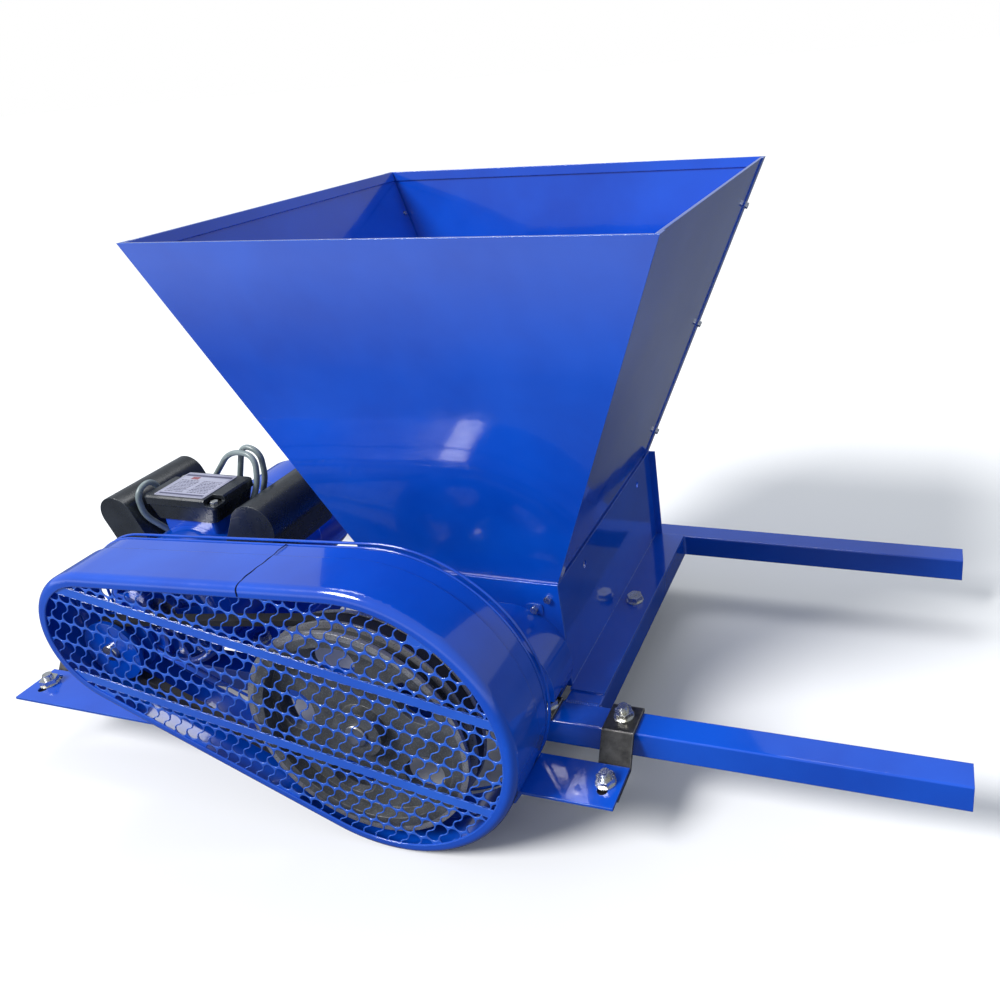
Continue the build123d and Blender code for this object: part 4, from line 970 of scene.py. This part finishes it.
@dataclass
class PlatePrint:
    """Generic printing on the motor's plate: a frame line, two bands, dashes and a small block."""

    margin: float = 1.8 * MM
    rule: float = 0.35 * MM
    ink_height: float = 0.06 * MM
    rows: int = 9
    seed: int = 7

    def bar(self, x0: float, x1: float, y0: float, y1: float, z: float) -> tuple[np.ndarray, np.ndarray]:
        """A flat rectangle that faces up."""
        points = np.array([[x0, y0, z], [x1, y0, z], [x1, y1, z], [x0, y1, z]])
        return points, np.array([[0, 1, 2, 3]])

    def build(self, ink: bpy.types.Material, accent: bpy.types.Material) -> None:
        """Makes the printing as flat strips just above the plate."""
        low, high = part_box("nameplate")
        z = high.z + self.ink_height
        x0, x1 = low.x + self.margin, high.x - self.margin
        y0, y1 = low.y + self.margin, high.y - self.margin
        r = self.rule
        parts = [self.bar(x0, x1, y0, y0 + r, z), self.bar(x0, x1, y1 - r, y1, z),
                 self.bar(x0, x0 + r, y0, y1, z), self.bar(x1 - r, x1, y0, y1, z),
                 self.bar(x0, x1, y1 - 6.5 * MM, y1 - 2.2 * MM, z),
                 self.bar(x0 + 2 * MM, x1 - 2 * MM, y0 + 1.6 * MM, y0 + 4.8 * MM, z)]
        rng = np.random.default_rng(self.seed)
        step = (y1 - y0 - 22 * MM) / self.rows
        for row in range(self.rows):
            y = y0 + 8 * MM + row * step
            for left, right in ((x0 + 4 * MM, x0 + 32 * MM), (x0 + 37 * MM, x1 - 4 * MM)):
                x = left
                while x < right - 2 * MM:
                    width = rng.uniform(1.2, 4.5) * MM
                    parts.append(self.bar(x, min(x + width, right), y, y + 1.5 * MM, z))
                    x += width + rng.uniform(0.7, 1.6) * MM
        points, faces = merge(parts)
        add_piece("plate_print", points, faces, ink, Body.FRAME, "plate_alloy", smooth=False)
        block = self.bar(x0 + 14 * MM, x0 + 25 * MM, y1 - 13.5 * MM, y1 - 7.6 * MM, z + 0.02 * MM)
        add_piece("plate_block", *block, accent, Body.FRAME, "plate_alloy", smooth=False)


# ------------------------------------------------------------------ studio


@dataclass
class Softbox:
    """A rectangular soft light that looks at the object."""

    name: str
    place: tuple[float, float, float]
    size: tuple[float, float]
    watts: float
    tint: Colour = (1.0, 1.0, 1.0)

    def hang(self, target: Vector) -> None:
        """Puts the light into the scene."""
        data = bpy.data.lights.new(self.name, "AREA")
        data.shape = "RECTANGLE"
        data.size, data.size_y = self.size
        data.energy = self.watts
        data.color = self.tint
        lamp = bpy.data.objects.new(self.name, data)
        lamp.location = self.place
        lamp.rotation_euler = (target - Vector(self.place)).to_track_quat("-Z", "Y").to_euler()
        lamp.visible_camera = False
        bpy.context.scene.collection.objects.link(lamp)


@dataclass
class Studio:
    """A pale floor, soft lights and the camera."""

    floor_half: float = 60.0
    floor_tone: Colour = (0.86, 0.86, 0.86)
    card_edge: tuple[float, float] = (-0.95, -0.55)   # Y where the bright card fades to the dark table
    card_tone: Colour = (0.62, 0.66, 0.72)
    table_tone: Colour = (0.10, 0.11, 0.13)
    glow: float = 0.55
    sun_from: tuple[float, float, float] = (-0.50, -0.55, 0.75)
    sun_strength: float = 3.6
    sun_width: float = 22.0      # degrees
    aim: tuple[float, float, float] = (-0.1, 0.1, 0.15)   # what the softbox looks at
    camera_place: tuple[float, float, float] = (0.463, -0.620, 0.658)
    camera_turn: tuple[float, float, float] = (67.876, 4.279, 16.01)   # degrees
    lens: float = 30.36          # millimetres on a 36 mm sensor
    shift: tuple[float, float] = (-0.1729, -0.1056)

    def floor(self) -> None:
        """A flat grid just under the object's lowest point: white to look at, with a faint mottle.

        Its bounce onto the object is that of a dark table with a white card at the front.
        """
        g = Graph("studio_floor")
        white = g.mix(g.noise(1.5, 3.0), self.floor_tone, tuple(0.985 * c for c in self.floor_tone))
        depth = g.add("ShaderNodeSeparateXYZ", Vector=g.place).outputs["Y"]
        bounce = g.mix(g.span(depth, *self.card_edge), self.card_tone, self.table_tone)
        seen = g.tree.nodes.new("ShaderNodeLightPath").outputs["Is Camera Ray"]
        material = g.finish(Base_Color=g.mix(seen, bounce, white), Roughness=0.8, Specular_IOR_Level=0.1)
        side = np.linspace(-self.floor_half, self.floor_half, 9)
        x, y = np.meshgrid(side, side, indexing="ij")
        points = np.stack([x, y, np.full(x.shape, cad_box[0][2] - 0.5 * MM)], -1).reshape(-1, 3)
        mesh = bpy.data.meshes.new("floor")
        mesh.from_pydata(points.tolist(), [], grid_faces(9, 9).tolist())
        mesh.materials.append(material)
        floor = bpy.data.objects.new("floor", mesh)
        bpy.context.scene.collection.objects.link(floor)

    def sky(self) -> None:
        """A plain white backdrop that lights the object more softly than it shows."""
        world = bpy.data.worlds.new("studio_world")
        world.use_nodes = True
        tree = world.node_tree
        backdrop = tree.nodes["Background"]
        backdrop.inputs["Color"].default_value = (1.0, 1.0, 1.0, 1.0)
        glow = tree.nodes.new("ShaderNodeBackground")
        glow.inputs["Color"].default_value = (0.86, 0.92, 1.0, 1.0)
        glow.inputs["Strength"].default_value = self.glow
        chooser = tree.nodes.new("ShaderNodeMixShader")
        tree.links.new(tree.nodes.new("ShaderNodeLightPath").outputs["Is Camera Ray"], chooser.inputs["Fac"])
        tree.links.new(glow.outputs["Background"], chooser.inputs[1])
        tree.links.new(backdrop.outputs["Background"], chooser.inputs[2])
        tree.links.new(chooser.outputs["Shader"], tree.nodes["World Output"].inputs["Surface"])
        bpy.context.scene.world = world

    def lights(self) -> None:
        """A wide soft sun from the front left and a softbox overhead for the long highlights."""
        sun = bpy.data.lights.new("sun", "SUN")
        sun.energy = self.sun_strength
        sun.angle = math.radians(self.sun_width)
        lamp = bpy.data.objects.new("sun", sun)
        lamp.rotation_euler = (-Vector(self.sun_from)).to_track_quat("-Z", "Y").to_euler()
        bpy.context.scene.collection.objects.link(lamp)
        Softbox("top", (-0.5, 0.9, 2.2), (1.8, 0.5), 16.0, (0.96, 0.98, 1.0)).hang(Vector(self.aim))

    def camera(self) -> None:
        """The camera, a little above the hopper's rim and turned to look along the guard."""
        data = bpy.data.cameras.new("camera")
        data.sensor_width = 36.0
        data.lens = self.lens
        data.shift_x, data.shift_y = self.shift
        data.clip_start = 0.02
        camera = bpy.data.objects.new("camera", data)
        camera.location = self.camera_place
        camera.rotation_euler = Euler([math.radians(a) for a in self.camera_turn])
        bpy.context.scene.collection.objects.link(camera)
        bpy.context.scene.camera = camera

    def build(self) -> None:
        """Sets the stage."""
        bpy.context.scene.view_settings.view_transform = "Standard"
        self.floor()
        self.sky()
        self.lights()
        self.camera()


def main() -> None:
    """Builds the stage, the finishes and the fine pieces, in that order."""
    logging.basicConfig(level=logging.INFO, format="%(name)s %(message)s")
    Studio().build()
    wardrobe = Wardrobe()
    wardrobe.sew()
    wardrobe.dress(frame["nodes"])
    paint = wardrobe.by_slot["blue_paint"]
    # the screen: a lighter copy of the blue enamel as a painted sky reflection, and much paler edges as
    # thinner paint and a painted highlight on the webs
    screen_paint_painted_sheen = Enamel("screen_enamel_painted_sheen", (0.010, 0.085, 0.55), (0.018, 0.13, 0.68), (0.30, 0.48, 0.95),
                          0.5 * MM, 0.0).build()
    BeltGuard().build(paint, screen_paint_painted_sheen, DarkGap().build())
    FrameWelds().build(paint)
    StudThreads().build(wardrobe.by_slot["zinc_steel"])
    block_ink = PrintInk("block_ink", (0.22, 0.05, 0.07), (0.36, 0.20, 0.22)).build()
    PlatePrint().build(PrintInk().build(), block_ink)


if __name__ == "__main__":
    main()
    bpy.context.view_layer.update()
